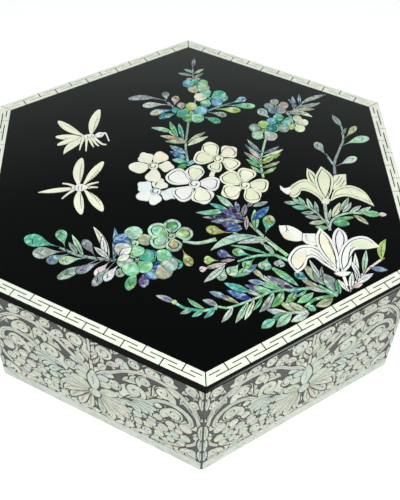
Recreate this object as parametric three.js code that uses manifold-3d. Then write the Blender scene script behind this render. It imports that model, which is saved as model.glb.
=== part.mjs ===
// A six-sided wooden box in black lacquer with a lift-off lid, faced and inlaid with mother-of-pearl.
// Millimetres, +Z up. The box stands on its underside, centred on the Z axis, with two corners on the Y axis.
import * as THREE from 'three';
import { mergeVertices } from 'three/addons/utils/BufferGeometryUtils.js';
import Module from 'manifold-3d';

const wasm = await Module();
wasm.setup();

// Wood
const LID_CORNER = 130; // middle of the lid to one of its corners
const LID_EDGE = 5.4; // square black edge of the lid
const LID_ARRIS = 1.2; // radius of the rounded lower edge of the lid
const LID_OVERHANG = 3; // lid past the faced walls
const BODY_HEIGHT = 82;
const WALL = 7;
const FLOOR = 6;
const FOOT_BEVEL = 0.6;
const PLUG_DEPTH = 5; // plug under the lid, below the rim
const PLUG_CLEARANCE = 0.6; // between the plug and the walls
const PLUG_BEVEL = 1;

// Shell
const GLUE = 0.1; // bed of glue under every piece of shell
const LID_SHELL = 0.3;
const WALL_SHELL = 0.4;
const INLAY_GAP = 0.3; // between neighbouring pieces in the picture

// Border of the lid
const BORDER_INSET = 0.15; // black left outside the border
const BORDER_WIDTH = 6.2;
const MITRE_LINE = 0.3; // black at each side of a mitre

// Facing of the walls
const FOOT_LINE = 0.4; // black left under the foot strip
const FOOT_STRIP = 7.4;
const PANEL_LINE = 0.6; // black between the foot strip and the panel
const RIM_LINE = 0.8; // black left above the panel
const CORNER_LINE = 0.5; // black at each side of a corner

// Free forms. The picture is drawn on a grid with 123 steps from the middle of its field to a corner, and the
// scrolls of a panel on a grid 63 steps from the middle to an edge and 74 steps high.
const PICTURE_STEPS = 123;
const PANEL_STEPS = { across: 63, up: 74 };
const SCROLL_LINE = 1.2; // black gap round the scrolls, in steps
const NARROW = 4.5; // a leaf narrower than this, in steps, is drawn with fewer parts
const NARROW_PARTS = 2;
const LEAF_PARTS = 3;
const SMALL_BLOSSOM = 11; // a blossom of this radius or less, in steps, is drawn with fewer parts
const SMALL_PETAL_PARTS = 3;
const PETAL_PARTS = 6;
const ARC_PART = 60; // most degrees of a scroll in one straight piece
const PETALS = 5;
const HEART = 0.45; // radius of a blossom between its petals, as a share of its whole radius
const PETAL_ROUNDNESS = 0.55; // power that swells a petal between its valleys
const BUD_BELLY = 0.68; // share of a bud's length where it is widest
const STEM_TAPER = 0.7; // width of a frond's stem at its end, as a share of that at its foot
const POINT_GROWTH = 1.5; // how much further a pointed end grows than an edge

const SIDES = 6;
const HALF_SIDE = Math.PI / SIDES;
const cornerOf = (apothem) => apothem / Math.cos(HALF_SIDE);
const apothemOf = (corner) => corner * Math.cos(HALF_SIDE);

const lidApothem = apothemOf(LID_CORNER);
const bodyApothem = lidApothem - LID_OVERHANG - WALL_SHELL - GLUE;
const innerApothem = bodyApothem - WALL;
const lidTop = BODY_HEIGHT + LID_ARRIS + LID_EDGE;
const borderApothem = lidApothem - BORDER_INSET;
const fieldApothem = borderApothem - BORDER_WIDTH;

const LACQUER = new THREE.MeshStandardMaterial({ color: 0x070808, roughness: 0.16, metalness: 0 });
const shellMaterial = (color) => new THREE.MeshStandardMaterial({ color, roughness: 0.25, metalness: 0.1 });
const WHITE_SHELL = shellMaterial(0xe9ebe2);
const GREY_SHELL = shellMaterial(0xb9c2bb);
const CREAM_SHELL = shellMaterial(0xd9dcae);
const GREEN_SHELL = shellMaterial(0x7fc4a0);
const BLUE_SHELL = shellMaterial(0x5f8fae);

const box = new THREE.Group();

function addMesh(parent, name, geometry, material) {
  const mesh = new THREE.Mesh(geometry, material);
  mesh.name = name;
  parent.add(mesh);
  return mesh;
}

// Joins and cuts

function toSolid(geometry) {
  geometry.deleteAttribute('normal');
  geometry.deleteAttribute('uv');
  const merged = mergeVertices(geometry);
  const corners = merged.index.array;
  const whole = [];
  for (let i = 0; i < corners.length; i += 3) {
    const [a, b, c] = corners.slice(i, i + 3);
    if (a !== b && b !== c && c !== a) {
      whole.push(a, b, c);
    }
  }
  return new wasm.Manifold(new wasm.Mesh({
    numProp: 3,
    vertProperties: merged.attributes.position.array,
    triVerts: Uint32Array.from(whole),
  }));
}

function toGeometry(solid) {
  const mesh = solid.getMesh();
  const geometry = new THREE.BufferGeometry();
  geometry.setAttribute('position', new THREE.BufferAttribute(mesh.vertProperties, 3));
  geometry.setIndex(new THREE.BufferAttribute(mesh.triVerts, 1));
  geometry.computeVertexNormals();
  return geometry;
}

const flat = (points, thickness) => new THREE.ExtrudeGeometry(
  new THREE.Shape(points), { depth: thickness, bevelEnabled: false });

const join = (solids) => solids.reduce((whole, solid) => whole.add(solid));

// Wood: six-sided solids from a profile of [distance from the axis to a side, height], from axis to axis

function sixSided(profile) {
  const points = profile.map(([apothem, z]) => new THREE.Vector2(cornerOf(apothem), z));
  return new THREE.LatheGeometry(points, SIDES).rotateX(Math.PI / 2);
}

function addBody() {
  addMesh(box, 'body', sixSided([
    [0, 0],
    [bodyApothem - FOOT_BEVEL, 0],
    [bodyApothem, FOOT_BEVEL],
    [bodyApothem, BODY_HEIGHT],
    [innerApothem, BODY_HEIGHT],
    [innerApothem, FLOOR],
    [0, FLOOR],
  ]), LACQUER);
}

function addLid() {
  const plugApothem = innerApothem - PLUG_CLEARANCE;
  const plugBottom = BODY_HEIGHT - PLUG_DEPTH;
  const arris = [0, 30, 60, 90].map((degrees) => {
    const angle = THREE.MathUtils.degToRad(degrees);
    return [
      lidApothem - LID_ARRIS * (1 - Math.sin(angle)),
      BODY_HEIGHT + LID_ARRIS * (1 - Math.cos(angle)),
    ];
  });
  addMesh(box, 'lid', sixSided([
    [0, plugBottom],
    [plugApothem - PLUG_BEVEL, plugBottom],
    [plugApothem, plugBottom + PLUG_BEVEL],
    [plugApothem, BODY_HEIGHT],
    ...arris,
    [lidApothem, lidTop],
    [0, lidTop],
  ]), LACQUER);
}

// Border of the lid: a mitred strip of shell along each side

function borderOutline() {
  const half = (apothem) => apothem * Math.tan(HALF_SIDE) - MITRE_LINE;
  return [
    new THREE.Vector2(-half(borderApothem), -borderApothem),
    new THREE.Vector2(half(borderApothem), -borderApothem),
    new THREE.Vector2(half(fieldApothem), -fieldApothem),
    new THREE.Vector2(-half(fieldApothem), -fieldApothem),
  ];
}

function addBorder(side, index) {
  const strip = addMesh(side, `lid_border_${index}`, flat(borderOutline(), LID_SHELL), WHITE_SHELL);
  strip.position.z = lidTop + GLUE;
}

// Facing of the walls: a plain foot strip, and above it a panel with the black gaps round its main scrolls

const halfFacing = (bodyApothem + GLUE) * Math.tan(HALF_SIDE) - CORNER_LINE;
const panelBottom = FOOT_LINE + FOOT_STRIP + PANEL_LINE;
const panelHeight = BODY_HEIGHT - RIM_LINE - panelBottom;

const rectangle = (halfWidth, height) => [
  [-halfWidth, 0], [halfWidth, 0], [halfWidth, height], [-halfWidth, height],
].map(([x, y]) => new THREE.Vector2(x, y));

// Black gaps in the right half of a panel: arcs as [centre across, centre up, radius, from, to], in steps and
// degrees
const SCROLLS = [
  [27, 43, 7.6, -50, 250], // inner volute
  [48.5, 38, 7.6, -70, 230], // outer volute
  [42.5, 55, 5, -110, 130], // curl above them
  [36, 29, 23.5, -68, -4], // gap inside the vine that rounds the lower corner
];

function scrollGap([centreAcross, centreUp, radius, from, to], mirror) {
  const parts = Math.ceil((to - from) / ARC_PART);
  const edge = (r) => Array.from({ length: parts + 1 }, (_, i) => {
    const angle = THREE.MathUtils.degToRad(from + (to - from) * i / parts);
    return new THREE.Vector2(
      mirror * (centreAcross + r * Math.cos(angle)) * halfFacing / PANEL_STEPS.across,
      (centreUp + r * Math.sin(angle)) * panelHeight / PANEL_STEPS.up);
  });
  const outline = [...edge(radius - SCROLL_LINE / 2), ...edge(radius + SCROLL_LINE / 2).reverse()];
  return toSolid(flat(outline, 3 * WALL_SHELL).translate(0, 0, -WALL_SHELL));
}

function panelGeometry() {
  let sheet = toSolid(flat(rectangle(halfFacing, panelHeight), WALL_SHELL));
  for (const scroll of SCROLLS) {
    for (const mirror of [1, -1]) {
      sheet = sheet.subtract(scrollGap(scroll, mirror));
    }
  }
  return toGeometry(sheet);
}

function addFacing(side, index, panel) {
  const wall = new THREE.Group();
  wall.position.y = -(bodyApothem + GLUE);
  wall.rotation.x = Math.PI / 2;
  side.add(wall);
  const strip = flat(rectangle(halfFacing, FOOT_STRIP), WALL_SHELL);
  addMesh(wall, `foot_strip_${index}`, strip, GREY_SHELL).position.y = FOOT_LINE;
  addMesh(wall, `side_panel_${index}`, panel.clone(), GREY_SHELL).position.y = panelBottom;
}

// Free forms of the picture, in grid steps. Each function gives the outline for a form grown by a margin

const unit = cornerOf(fieldApothem) / PICTURE_STEPS;

// Both edges of a form that runs along a line: `middle` gives its middle points and `half` its half widths
function ribbon(middle, half, directions) {
  const left = [];
  const right = [];
  middle.forEach((point, i) => {
    const across = new THREE.Vector2(-directions[i].y, directions[i].x).multiplyScalar(half[i]);
    if (half[i] === 0) {
      left.push(point.clone());
    } else {
      left.push(point.clone().add(across));
      right.unshift(point.clone().sub(across));
    }
  });
  return [...left, ...right];
}

// Leaf or petal from its base to its tip, widest at `belly` of its length, bowed to its left by `bow`
function leaf(x0, y0, x1, y1, width, bow = 0, belly = 0.5, parts = width < NARROW ? NARROW_PARTS : LEAF_PARTS) {
  return (grow) => {
    const along = new THREE.Vector2(x1 - x0, y1 - y0);
    const length = along.length();
    along.normalize();
    const across = new THREE.Vector2(-along.y, along.x);
    const power = Math.log(0.5) / Math.log(belly);
    const middle = [];
    const half = [];
    const directions = [];
    for (let i = 0; i <= parts; i++) {
      const s = i / parts;
      const inside = i > 0 && i < parts;
      middle.push(new THREE.Vector2(x0, y0)
        .addScaledVector(along, s * length + (2 * s - 1) * grow * POINT_GROWTH)
        .addScaledVector(across, 4 * bow * s * (1 - s)));
      half.push(inside ? width / 2 * Math.sin(Math.PI * s ** power) + grow : 0);
      directions.push(along.clone().addScaledVector(across, 4 * bow * (1 - 2 * s) / length).normalize());
    }
    return ribbon(middle, half, directions);
  };
}

// Round-headed bud on a tapering neck
const bud = (x0, y0, x1, y1, width, bow = 0) => leaf(x0, y0, x1, y1, width, bow, BUD_BELLY, LEAF_PARTS);

// Stem through a few points, tapering from one width to another
function stem(points, from, to = from) {
  return (grow) => {
    const curve = new THREE.SplineCurve(points.map(([x, y]) => new THREE.Vector2(x, y)));
    const parts = points.length - 1;
    const at = Array.from({ length: parts + 1 }, (_, i) => i / parts);
    return ribbon(
      at.map((t) => curve.getPoint(t)),
      at.map((t) => (from + (to - from) * t) / 2 + grow),
      at.map((t) => curve.getTangent(t)));
  };
}

// Blossom with round petals, one of them pointing to `turn`
function blossom(x, y, radius, turn) {
  const parts = PETALS * (radius > SMALL_BLOSSOM ? PETAL_PARTS : SMALL_PETAL_PARTS);
  return (grow) => Array.from({ length: parts }, (_, i) => {
    const angle = Math.PI / PETALS + 2 * Math.PI * i / parts;
    const swell = Math.abs(Math.cos(PETALS * angle / 2)) ** PETAL_ROUNDNESS;
    const r = radius * (HEART + (1 - HEART) * swell) + grow;
    const direction = angle + THREE.MathUtils.degToRad(turn);
    return new THREE.Vector2(x + r * Math.cos(direction), y + r * Math.sin(direction));
  });
}

// Leaves on both sides of a stem, from `first` to `last` of its length, with lengths that run between two values
function frond(points, { width = 1.3, pairs, first, last, long, wide, spread, bow = 0 }) {
  const curve = new THREE.SplineCurve(points.map(([x, y]) => new THREE.Vector2(x, y)));
  const forms = [stem(points, width, width * STEM_TAPER)];
  for (let i = 0; i < pairs; i++) {
    for (const side of [1, -1]) {
      const part = (i + (side > 0 ? 0 : 0.5)) / pairs;
      const t = Math.min(1, first + (last - first) * part);
      const base = curve.getPoint(t);
      const turn = curve.getTangent(t).angle() + side * THREE.MathUtils.degToRad(spread);
      const length = long[0] + (long[1] - long[0]) * part;
      forms.push(leaf(base.x, base.y, base.x + length * Math.cos(turn), base.y + length * Math.sin(turn),
        wide, side * bow));
    }
  }
  return forms;
}

// The picture, from the pieces that lie lowest to those that cut into them

const PICTURE = [
  ['lid_front_fronds', GREEN_SHELL, [
    ...frond([[66, -80], [50, -76.5], [32, -80], [14, -87], [2, -89]],
      { pairs: 5, first: 0.2, last: 1, long: [14, 8], wide: 4.2, spread: 34 }),
    ...frond([[66, -80], [54, -86], [42, -91], [32, -96.5]],
      { pairs: 4, first: 0.22, last: 0.95, long: [11, 8.5], wide: 4, spread: 36 }),
    leaf(64, -80.5, 51, -71, 3.4),
    leaf(64.5, -80, 65, -68, 4.4),
    leaf(63, -79.5, 55, -66, 3.6),
  ]],
  ['lid_lower_spray', GREEN_SHELL, [
    stem([[45, -59], [36, -55.5], [22, -57], [12, -60.5]], 1.8, 1.2),
    bud(38, -56, 33, -52.5, 4),
    bud(33, -56, 24, -49.5, 6.5),
    bud(22, -56.5, 10, -50, 6),
    bud(13, -60, 3, -56.5, 5),
    leaf(14, -60, 3, -71, 3.6, 1),
    leaf(16, -59, 10.5, -69, 4.2),
    bud(22, -57.5, 14.5, -66.5, 6),
    leaf(28, -56.5, 17, -68, 4.4, 1),
    bud(30, -56, 31.5, -64, 7),
    bud(38, -56, 39.5, -62.5, 6),
    leaf(36, -56, 46, -73, 3.6, 1),
  ]],
  ['lid_middle_spray', BLUE_SHELL, [
    stem([[44.5, -55], [36, -45], [28, -34], [19, -21]], 1.8, 1.2),
    stem([[40, -51], [33, -43], [24, -41.5], [17, -38]], 1.4, 1),
    leaf(19, -21, 0, -23.5, 3.4, 1),
    leaf(20, -22, 11, -11.5, 3.4),
    leaf(24, -28, 9, -30, 4.4),
    leaf(20, -40, 12.5, -32.5, 6),
    bud(18, -38.5, 4.5, -35, 5.6, 1),
    leaf(33, -43, 6, -50.5, 4.6, -3),
    leaf(36, -45, 20, -46.5, 3, -1),
    bud(34, -42, 38.5, -27, 6.6),
    leaf(30, -37, 30, -23.5, 4),
    leaf(27, -32, 38, -20.5, 4.6),
    leaf(24, -27.5, 26, -18.5, 3),
  ]],
  ['lid_left_cluster', GREEN_SHELL, [
    stem([[-70, -47], [-60, -52.5], [-46, -55.5], [-34, -57]], 1.4, 2),
    bud(-69, -47, -88.5, -40, 8.2),
    bud(-67, -48.5, -71, -35, 6),
    bud(-66, -49.5, -83.5, -50.5, 7.6),
    bud(-64, -50.5, -76, -56.5, 5),
    bud(-56, -54, -70, -56, 5.4),
    leaf(-58, -53, -64.5, -38.5, 2.8),
    leaf(-56, -54, -60.5, -40, 2.8),
    bud(-51, -55, -58, -42.5, 4.8),
    leaf(-45, -55, -54, -33, 3.6, -1),
    leaf(-43, -56, -43, -34, 3.4, -1),
    leaf(-45, -55, -53, -47, 3),
    bud(-50, -55, -70, -67, 5.4),
    bud(-47, -55.5, -59.5, -65, 5.6),
    bud(-44, -55.5, -51.5, -64.5, 4.8),
    bud(-40, -56.5, -52.5, -72, 4.8),
    bud(-36, -57, -40.5, -66.5, 5),
    blossom(-34, -43, 11, 108),
    blossom(-14, -40, 11.5, 90),
    blossom(-21, -42, 8.5, 60),
    blossom(-33, -56, 9.5, 60),
    blossom(-20, -58, 10.5, 70),
    bud(-30, -58, -35.5, -75, 5.4),
    bud(-29, -58, -27.5, -73.5, 5),
    bud(-14, -50, -10, -61.5, 5.4),
    bud(-10, -46, -4.5, -60.5, 5),
    stem([[-8, -44], [0, -45.5], [9, -43]], 1.6, 2.4),
  ]],
  ['lid_back_spray', GREEN_SHELL, [
    stem([[-3.5, 13.5], [-4.5, 27], [-3, 42], [-1.5, 54], [3, 72], [2, 92], [2.5, 104]], 1.6, 1.2),
    leaf(2, 98, 3, 111.5, 3),
    ...frond([[2, 86], [2, 100]], { pairs: 2, first: 0.3, last: 0.9, long: [9, 7], wide: 2.4, spread: 62 }),
    blossom(3.5, 84, 8.5, 198),
    blossom(11, 70.5, 9.5, 70),
    blossom(-1, 57.5, 9.5, 90),
    blossom(-6, 60, 6.5, 160),
    stem([[3, 54], [13, 61], [24, 66]], 1.4),
    bud(23, 65.5, 32.5, 71, 4.8),
    bud(19, 64, 38, 63.5, 4.8),
    bud(13, 61, 29, 59.5, 5),
    bud(9, 58, 20.5, 55, 4.2),
    bud(4, 55, 16.5, 48.5, 4.4),
    stem([[-7, 57], [-11, 63], [-16, 69.5]], 1.4),
    bud(-13, 67, -37.5, 70.5, 4.4, -3),
    bud(-14.5, 67.5, -15.5, 77, 4.6),
    bud(-10.5, 62, -9, 73, 4.8),
    bud(-12, 64.5, -28.5, 64.5, 4.6, -1),
    bud(-8, 60, -24, 57, 4.8, -1),
    bud(-6, 58, -19.5, 53, 4.6),
    ...frond([[-4, 18], [-4.3, 30], [-3, 42]],
      { pairs: 3, first: 0.05, last: 0.8, long: [12, 14], wide: 3.6, spread: 52, bow: -1 }),
    leaf(-4, 36, -12.5, 49, 3.2),
    leaf(-3.5, 39, -7, 49, 2.8),
  ]],
  ['lid_right_spray', GREEN_SHELL, [
    ...frond([[37.5, 3], [38, 20], [41, 34]],
      { width: 1.6, pairs: 4, first: 0.1, last: 0.95, long: [11, 14], wide: 3.2, spread: 42, bow: 0.8 }),
    stem([[41, 34], [47, 50], [52, 57], [60, 58], [68, 67]], 1.8, 1.2),
    blossom(41, 41, 9.5, 95),
    blossom(50.5, 47, 9, 250),
    blossom(50.5, 62.5, 8, 60),
    blossom(60.5, 47, 9, 290),
    bud(47, 50, 40, 60, 6.4),
    stem([[56, 57], [58.5, 52]], 1.6),
    leaf(61, 59, 61.5, 72, 2.6),
    leaf(65, 64, 65.5, 73, 2),
    leaf(66, 65, 82, 73, 3.2, 1),
    leaf(63, 62, 77.5, 65, 3, -1),
    leaf(60, 59, 73, 59.5, 2.4),
    leaf(58, 58, 70.5, 52.5, 3, 1.5),
  ]],
  ['lid_bud_twig', GREY_SHELL, [
    stem([[77.5, 6.5], [78.5, 13], [83, 24], [86.5, 33], [87, 47]], 1.8, 1.1),
    stem([[78, 10], [74.5, 20]], 1.5, 1),
    leaf(75, 18, 70, 30, 5.4),
    bud(78.5, 10, 91.5, 17, 4.8),
    bud(84, 26, 101.5, 33, 5.6, 1.4),
    bud(86.5, 32, 95.5, 43.5, 4),
    leaf(87, 45, 83, 54, 4),
  ]],
  ['lid_pink_twig', GREY_SHELL, [
    stem([[72, -78.5], [78, -71], [84, -64.5], [93, -57.5]], 1.4, 1.1),
    leaf(92, -59, 96.5, -45, 4, 1.5),
    leaf(85, -63.5, 93, -65.5, 3),
    leaf(75, -74, 86, -67.5, 3.4),
    leaf(77, -72, 79, -54, 2.8),
    leaf(81, -67.5, 85, -52, 2.8),
    leaf(73, -77.5, 75.5, -66.5, 2.6),
    leaf(72, -78.5, 69.5, -68.5, 2.6),
  ]],
  ['lid_lily_leaves', GREEN_SHELL, [
    stem([[68.5, -18.5], [68, -28], [68.5, -36]], 1.8),
    ...frond([[68, -35], [61, -26.5], [50, -17]],
      { pairs: 3, first: 0.15, last: 0.8, long: [11.5, 8], wide: 3.4, spread: 38 }),
    leaf(52, -18.5, 46.5, -15.5, 3),
    leaf(67.8, -35, 57, -32.5, 3.6),
    ...frond([[68.5, -34], [76, -28], [89, -26]],
      { pairs: 3, first: 0.12, last: 0.85, long: [10.5, 9], wide: 3.4, spread: 40 }),
    leaf(87, -26, 99.5, -28, 3.6),
    leaf(69, -33.5, 80, -33.5, 4.4),
  ]],
  ['lid_white_lily', WHITE_SHELL, [
    bud(60, -47, 41.5, -33, 10.5),
    leaf(70, -64, 75, -36, 9.5, -1),
    leaf(71, -66, 91.5, -50, 9.5, 9, 0.6, 6),
    leaf(68, -66, 46, -64, 9.5, -18, 0.6, 8),
    leaf(68, -67, 63.5, -36, 10.5, 1),
    leaf(66, -66, 76, -66, 5, -1),
    stem([[71, -66], [71.5, -73]], 1.6),
  ]],
  ['lid_cream_lily', CREAM_SHELL, [
    leaf(67, -15, 61.5, 8.5, 8, 2),
    leaf(71, -13, 83, 3.5, 7.5, -1.5),
    leaf(68.5, -16, 50.5, -12.5, 8, -14, 0.6, 8),
    leaf(54, -9, 45.5, -4.5, 4, 0.5),
    leaf(70.5, -15, 95.5, -21, 9, 11, 0.62, 8),
    leaf(69, -17.5, 71, 10, 9.5),
  ]],
  ['lid_blossom_west', WHITE_SHELL, [
    blossom(-22.5, 12, 11.5, 62),
    leaf(-24, 14, -21, -7.5, 11, 1.5, 0.4, 6),
  ]],
  ['lid_blossom_south_west', WHITE_SHELL, [
    blossom(-21.5, -8.5, 11.5, 132),
    leaf(-18, -9, -8, -10, 8),
  ]],
  ['lid_blossom_north', WHITE_SHELL, [
    blossom(13, 17.5, 14, 105),
    leaf(10, 8, 9, 1.5, 4.5),
  ]],
  ['lid_blossom_east', WHITE_SHELL, [blossom(26.5, -3.5, 14, 83)]],
  ['lid_blossom_centre', WHITE_SHELL, [blossom(-0.5, -2.5, 16, 90)]],
  ['lid_upper_insect', WHITE_SHELL, [
    leaf(-66, 34.5, -54.5, 38, 5.4),
    leaf(-58.5, 37, -54.5, 61, 5.6, 0.8),
    leaf(-57, 37.5, -53, 59, 1.6, -1.8),
    leaf(-61, 37, -78, 51, 5.4, 1, 0.62),
    leaf(-60.5, 38.5, -70.5, 50, 1.8, -0.6),
    leaf(-62.5, 36.5, -78.5, 37, 4.6),
    leaf(-62.5, 35.5, -77, 30, 3.8, -1),
    leaf(-61.5, 34.5, -73, 22.5, 4.4, -2),
    leaf(-56.5, 37, -50.5, 40, 4),
    stem([[-52.5, 39], [-50.2, 39.8], [-48, 33.2]], 1, 0.8),
    ...[[-62.5, -64.2, 25.8], [-60.8, -60.6, 24.8], [-59.5, -56.5, 28.2], [-58, -53.6, 29], [-56.5, -49.4, 30]]
      .map(([hip, toe, down]) => stem([[hip, 36], [toe, down]], 2, 0)),
  ]],
  ['lid_lower_insect', WHITE_SHELL, [
    leaf(-67, -4.5, -57.5, -4, 5.6),
    leaf(-63, -4, -62.5, 19, 6.4, 1.2),
    leaf(-61.5, -3.5, -50.5, 16, 5.2, 0, 0.6),
    leaf(-62.5, -5, -60.5, -24, 5.8, -1, 0.55),
    leaf(-61, -5, -49.5, -22, 5.8, 0.6, 0.6),
    leaf(-64, -4.5, -84.5, -7.5, 3),
    ...[[-65, -3.5, -72, -0.8], [-65, -5.5, -71.5, -12.5], [-60, -3.5, -52.5, -0.2], [-60, -5, -52.8, -4.2]]
      .map(([x0, y0, x1, y1]) => stem([[x0, y0], [x1, y1]], 2, 0)),
  ]],
];

const grown = (forms, margin) => join(forms.map((form) => {
  const points = form(margin / unit).map((point) => point.multiplyScalar(unit));
  return toSolid(margin
    ? flat(points, 3 * LID_SHELL).translate(0, 0, -LID_SHELL)
    : flat(points, LID_SHELL));
}));

function addPicture() {
  const edge = fieldApothem - INLAY_GAP;
  const below = -LID_SHELL;
  const above = 2 * LID_SHELL;
  const field = toSolid(sixSided([[0, below], [edge, below], [edge, above], [0, above]]));
  PICTURE.forEach(([name, material, forms], i) => {
    let solid = grown(forms, 0).intersect(field);
    for (const [, , higher] of PICTURE.slice(i + 1)) {
      solid = solid.subtract(grown(higher, INLAY_GAP));
    }
    addMesh(box, name, toGeometry(solid), material).position.z = lidTop + GLUE;
  });
}

addBody();
addLid();
const panel = panelGeometry();
for (let i = 0; i < SIDES; i++) {
  const side = new THREE.Group();
  side.rotation.z = (2 * i + 1) * HALF_SIDE;
  box.add(side);
  addBorder(side, i + 1);
  addFacing(side, i + 1, panel);
}
addPicture();

export default box;
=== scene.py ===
# %% [markdown]
# # A six-sided lacquer box inlaid with shell
#
# The box is black lacquer over wood. Thin plates of shell are glued to it: a key pattern round the lid, a
# picture of flowers and insects inside it, and an openwork of scrolls on the walls. The solid model gives
# the wood and the plain plates. This lesson gives every surface its finish and cuts the plates as finely as
# a shell worker would.

# %% Load the solid model
import math
import random

import bpy
import numpy as np
from mathutils import Matrix, Vector
from mathutils.geometry import delaunay_2d_cdt


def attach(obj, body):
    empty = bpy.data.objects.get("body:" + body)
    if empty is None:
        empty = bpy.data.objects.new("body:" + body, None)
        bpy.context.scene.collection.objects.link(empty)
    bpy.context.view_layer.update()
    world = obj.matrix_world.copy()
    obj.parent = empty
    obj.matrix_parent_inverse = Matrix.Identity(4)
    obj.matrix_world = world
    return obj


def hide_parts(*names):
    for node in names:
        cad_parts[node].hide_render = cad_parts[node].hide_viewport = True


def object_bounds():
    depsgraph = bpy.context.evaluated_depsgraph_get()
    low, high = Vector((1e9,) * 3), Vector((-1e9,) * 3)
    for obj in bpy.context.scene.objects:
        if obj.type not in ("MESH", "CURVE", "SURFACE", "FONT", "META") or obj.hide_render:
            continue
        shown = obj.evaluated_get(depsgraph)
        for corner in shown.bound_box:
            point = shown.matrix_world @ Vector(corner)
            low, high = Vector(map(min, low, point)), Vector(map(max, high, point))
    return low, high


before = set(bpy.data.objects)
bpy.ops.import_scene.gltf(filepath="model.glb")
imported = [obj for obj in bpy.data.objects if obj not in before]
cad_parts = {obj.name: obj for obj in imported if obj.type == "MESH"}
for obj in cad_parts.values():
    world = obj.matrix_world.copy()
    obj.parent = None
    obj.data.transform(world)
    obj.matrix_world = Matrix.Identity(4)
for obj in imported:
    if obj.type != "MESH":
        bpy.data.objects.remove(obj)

cad_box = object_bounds()
low, high = cad_box
print("solid model from", [round(v, 4) for v in low], "to", [round(v, 4) for v in high])

MM = 0.001
SIDES = 6
HALF_SIDE = math.pi / SIDES

# %% [markdown]
# ## The camera
#
# A photograph taken from close by shows strong perspective, so the camera needs the true distance and not
# only the true direction. Its place is given as a turn round the box, a tilt down and a distance from a
# point on the lid. The lens follows from how wide the box looks at that distance.

# %% Camera
PHOTO_HEIGHT = 500
FOCAL_PIXELS = 824.9
SENSOR = 36.0
CAMERA_TURN = math.radians(3.70)
CAMERA_TILT = math.radians(48.98)
CAMERA_ROLL = math.radians(1.84)
CAMERA_DISTANCE = 0.4157
CAMERA_AIM = Vector((0.0005, -0.0502, high[2]))


def add_camera():
    ahead = Vector((math.sin(CAMERA_TURN) * math.cos(CAMERA_TILT),
                    math.cos(CAMERA_TURN) * math.cos(CAMERA_TILT), -math.sin(CAMERA_TILT)))
    level = Vector((math.cos(CAMERA_TURN), -math.sin(CAMERA_TURN), 0))
    upright = level.cross(ahead)
    right = level * math.cos(CAMERA_ROLL) + upright * math.sin(CAMERA_ROLL)
    above = upright * math.cos(CAMERA_ROLL) - level * math.sin(CAMERA_ROLL)
    data = bpy.data.cameras.new("photo_camera")
    data.sensor_fit = "VERTICAL"
    data.sensor_height = SENSOR
    data.lens = FOCAL_PIXELS / PHOTO_HEIGHT * SENSOR
    camera = bpy.data.objects.new("photo_camera", data)
    turn = Matrix((right, above, -ahead)).transposed().to_4x4()
    camera.matrix_world = Matrix.Translation(CAMERA_AIM - ahead * CAMERA_DISTANCE) @ turn
    bpy.context.scene.collection.objects.link(camera)
    bpy.context.scene.camera = camera
    print("camera at", [round(v, 3) for v in camera.matrix_world.translation], "lens", round(data.lens, 1))


add_camera()

# %% [markdown]
# ## The studio
#
# Black lacquer is a dark mirror: it shows what stands around it. Here a dim ceiling leaves the front of the
# lid nearly black, and a paler far wall lifts the back of it to grey, as a real room would. The light comes
# from that room and from one large soft panel, placed where the lid doesn't mirror it into the camera. The
# floor is plain, pale and matt.

# %% Floor
FLOOR_SIZE = 8.0
FLOOR_DROP = 0.0002
FLOOR_COLOUR = (0.95, 0.95, 0.95, 1)
FLOOR_GLOW = 0.38


def add_floor():
    half = FLOOR_SIZE / 2
    mesh = bpy.data.meshes.new("floor")
    corners = [(-half, -half, 0), (half, -half, 0), (half, half, 0), (-half, half, 0)]
    mesh.from_pydata(corners, [], [(0, 1, 2, 3)])
    floor = bpy.data.objects.new("floor", mesh)
    floor.location.z = -FLOOR_DROP
    material = bpy.data.materials.new("pale_floor")
    material.use_nodes = True
    shader = material.node_tree.nodes["Principled BSDF"]
    shader.inputs["Base Color"].default_value = FLOOR_COLOUR
    shader.inputs["Roughness"].default_value = 0.8
    shader.inputs["Emission Color"].default_value = FLOOR_COLOUR
    shader.inputs["Emission Strength"].default_value = FLOOR_GLOW
    mesh.materials.append(material)
    bpy.context.scene.collection.objects.link(floor)
    print("floor:", FLOOR_SIZE, "m wide")


add_floor()

# %% Light
def add_panel_light(name, place, aim, size, watts):
    data = bpy.data.lights.new(name, "AREA")
    data.shape = "RECTANGLE"
    data.size, data.size_y = size
    data.energy = watts
    light = bpy.data.objects.new(name, data)
    light.location = place
    light.rotation_euler = (Vector(aim) - Vector(place)).to_track_quat("-Z", "Y").to_euler()
    bpy.context.scene.collection.objects.link(light)
    print("light:", name, watts, "W")


add_panel_light("front_panel", place=(0.01, -0.55, 0.8), aim=(0, -0.03, 0.05), size=(0.75, 0.4), watts=9.8)

# %% Surroundings
ROOM_STOPS = ((0.0, 1.1), (0.54, 1.1), (0.62, 0.42), (0.70, 0.09), (0.82, 0.014))
ROOM_TINT = (0.88, 1.0, 0.92)
ROOM_TURNS = (-0.3, 0.5)
ROOM_FRONT = 0.2


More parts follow.
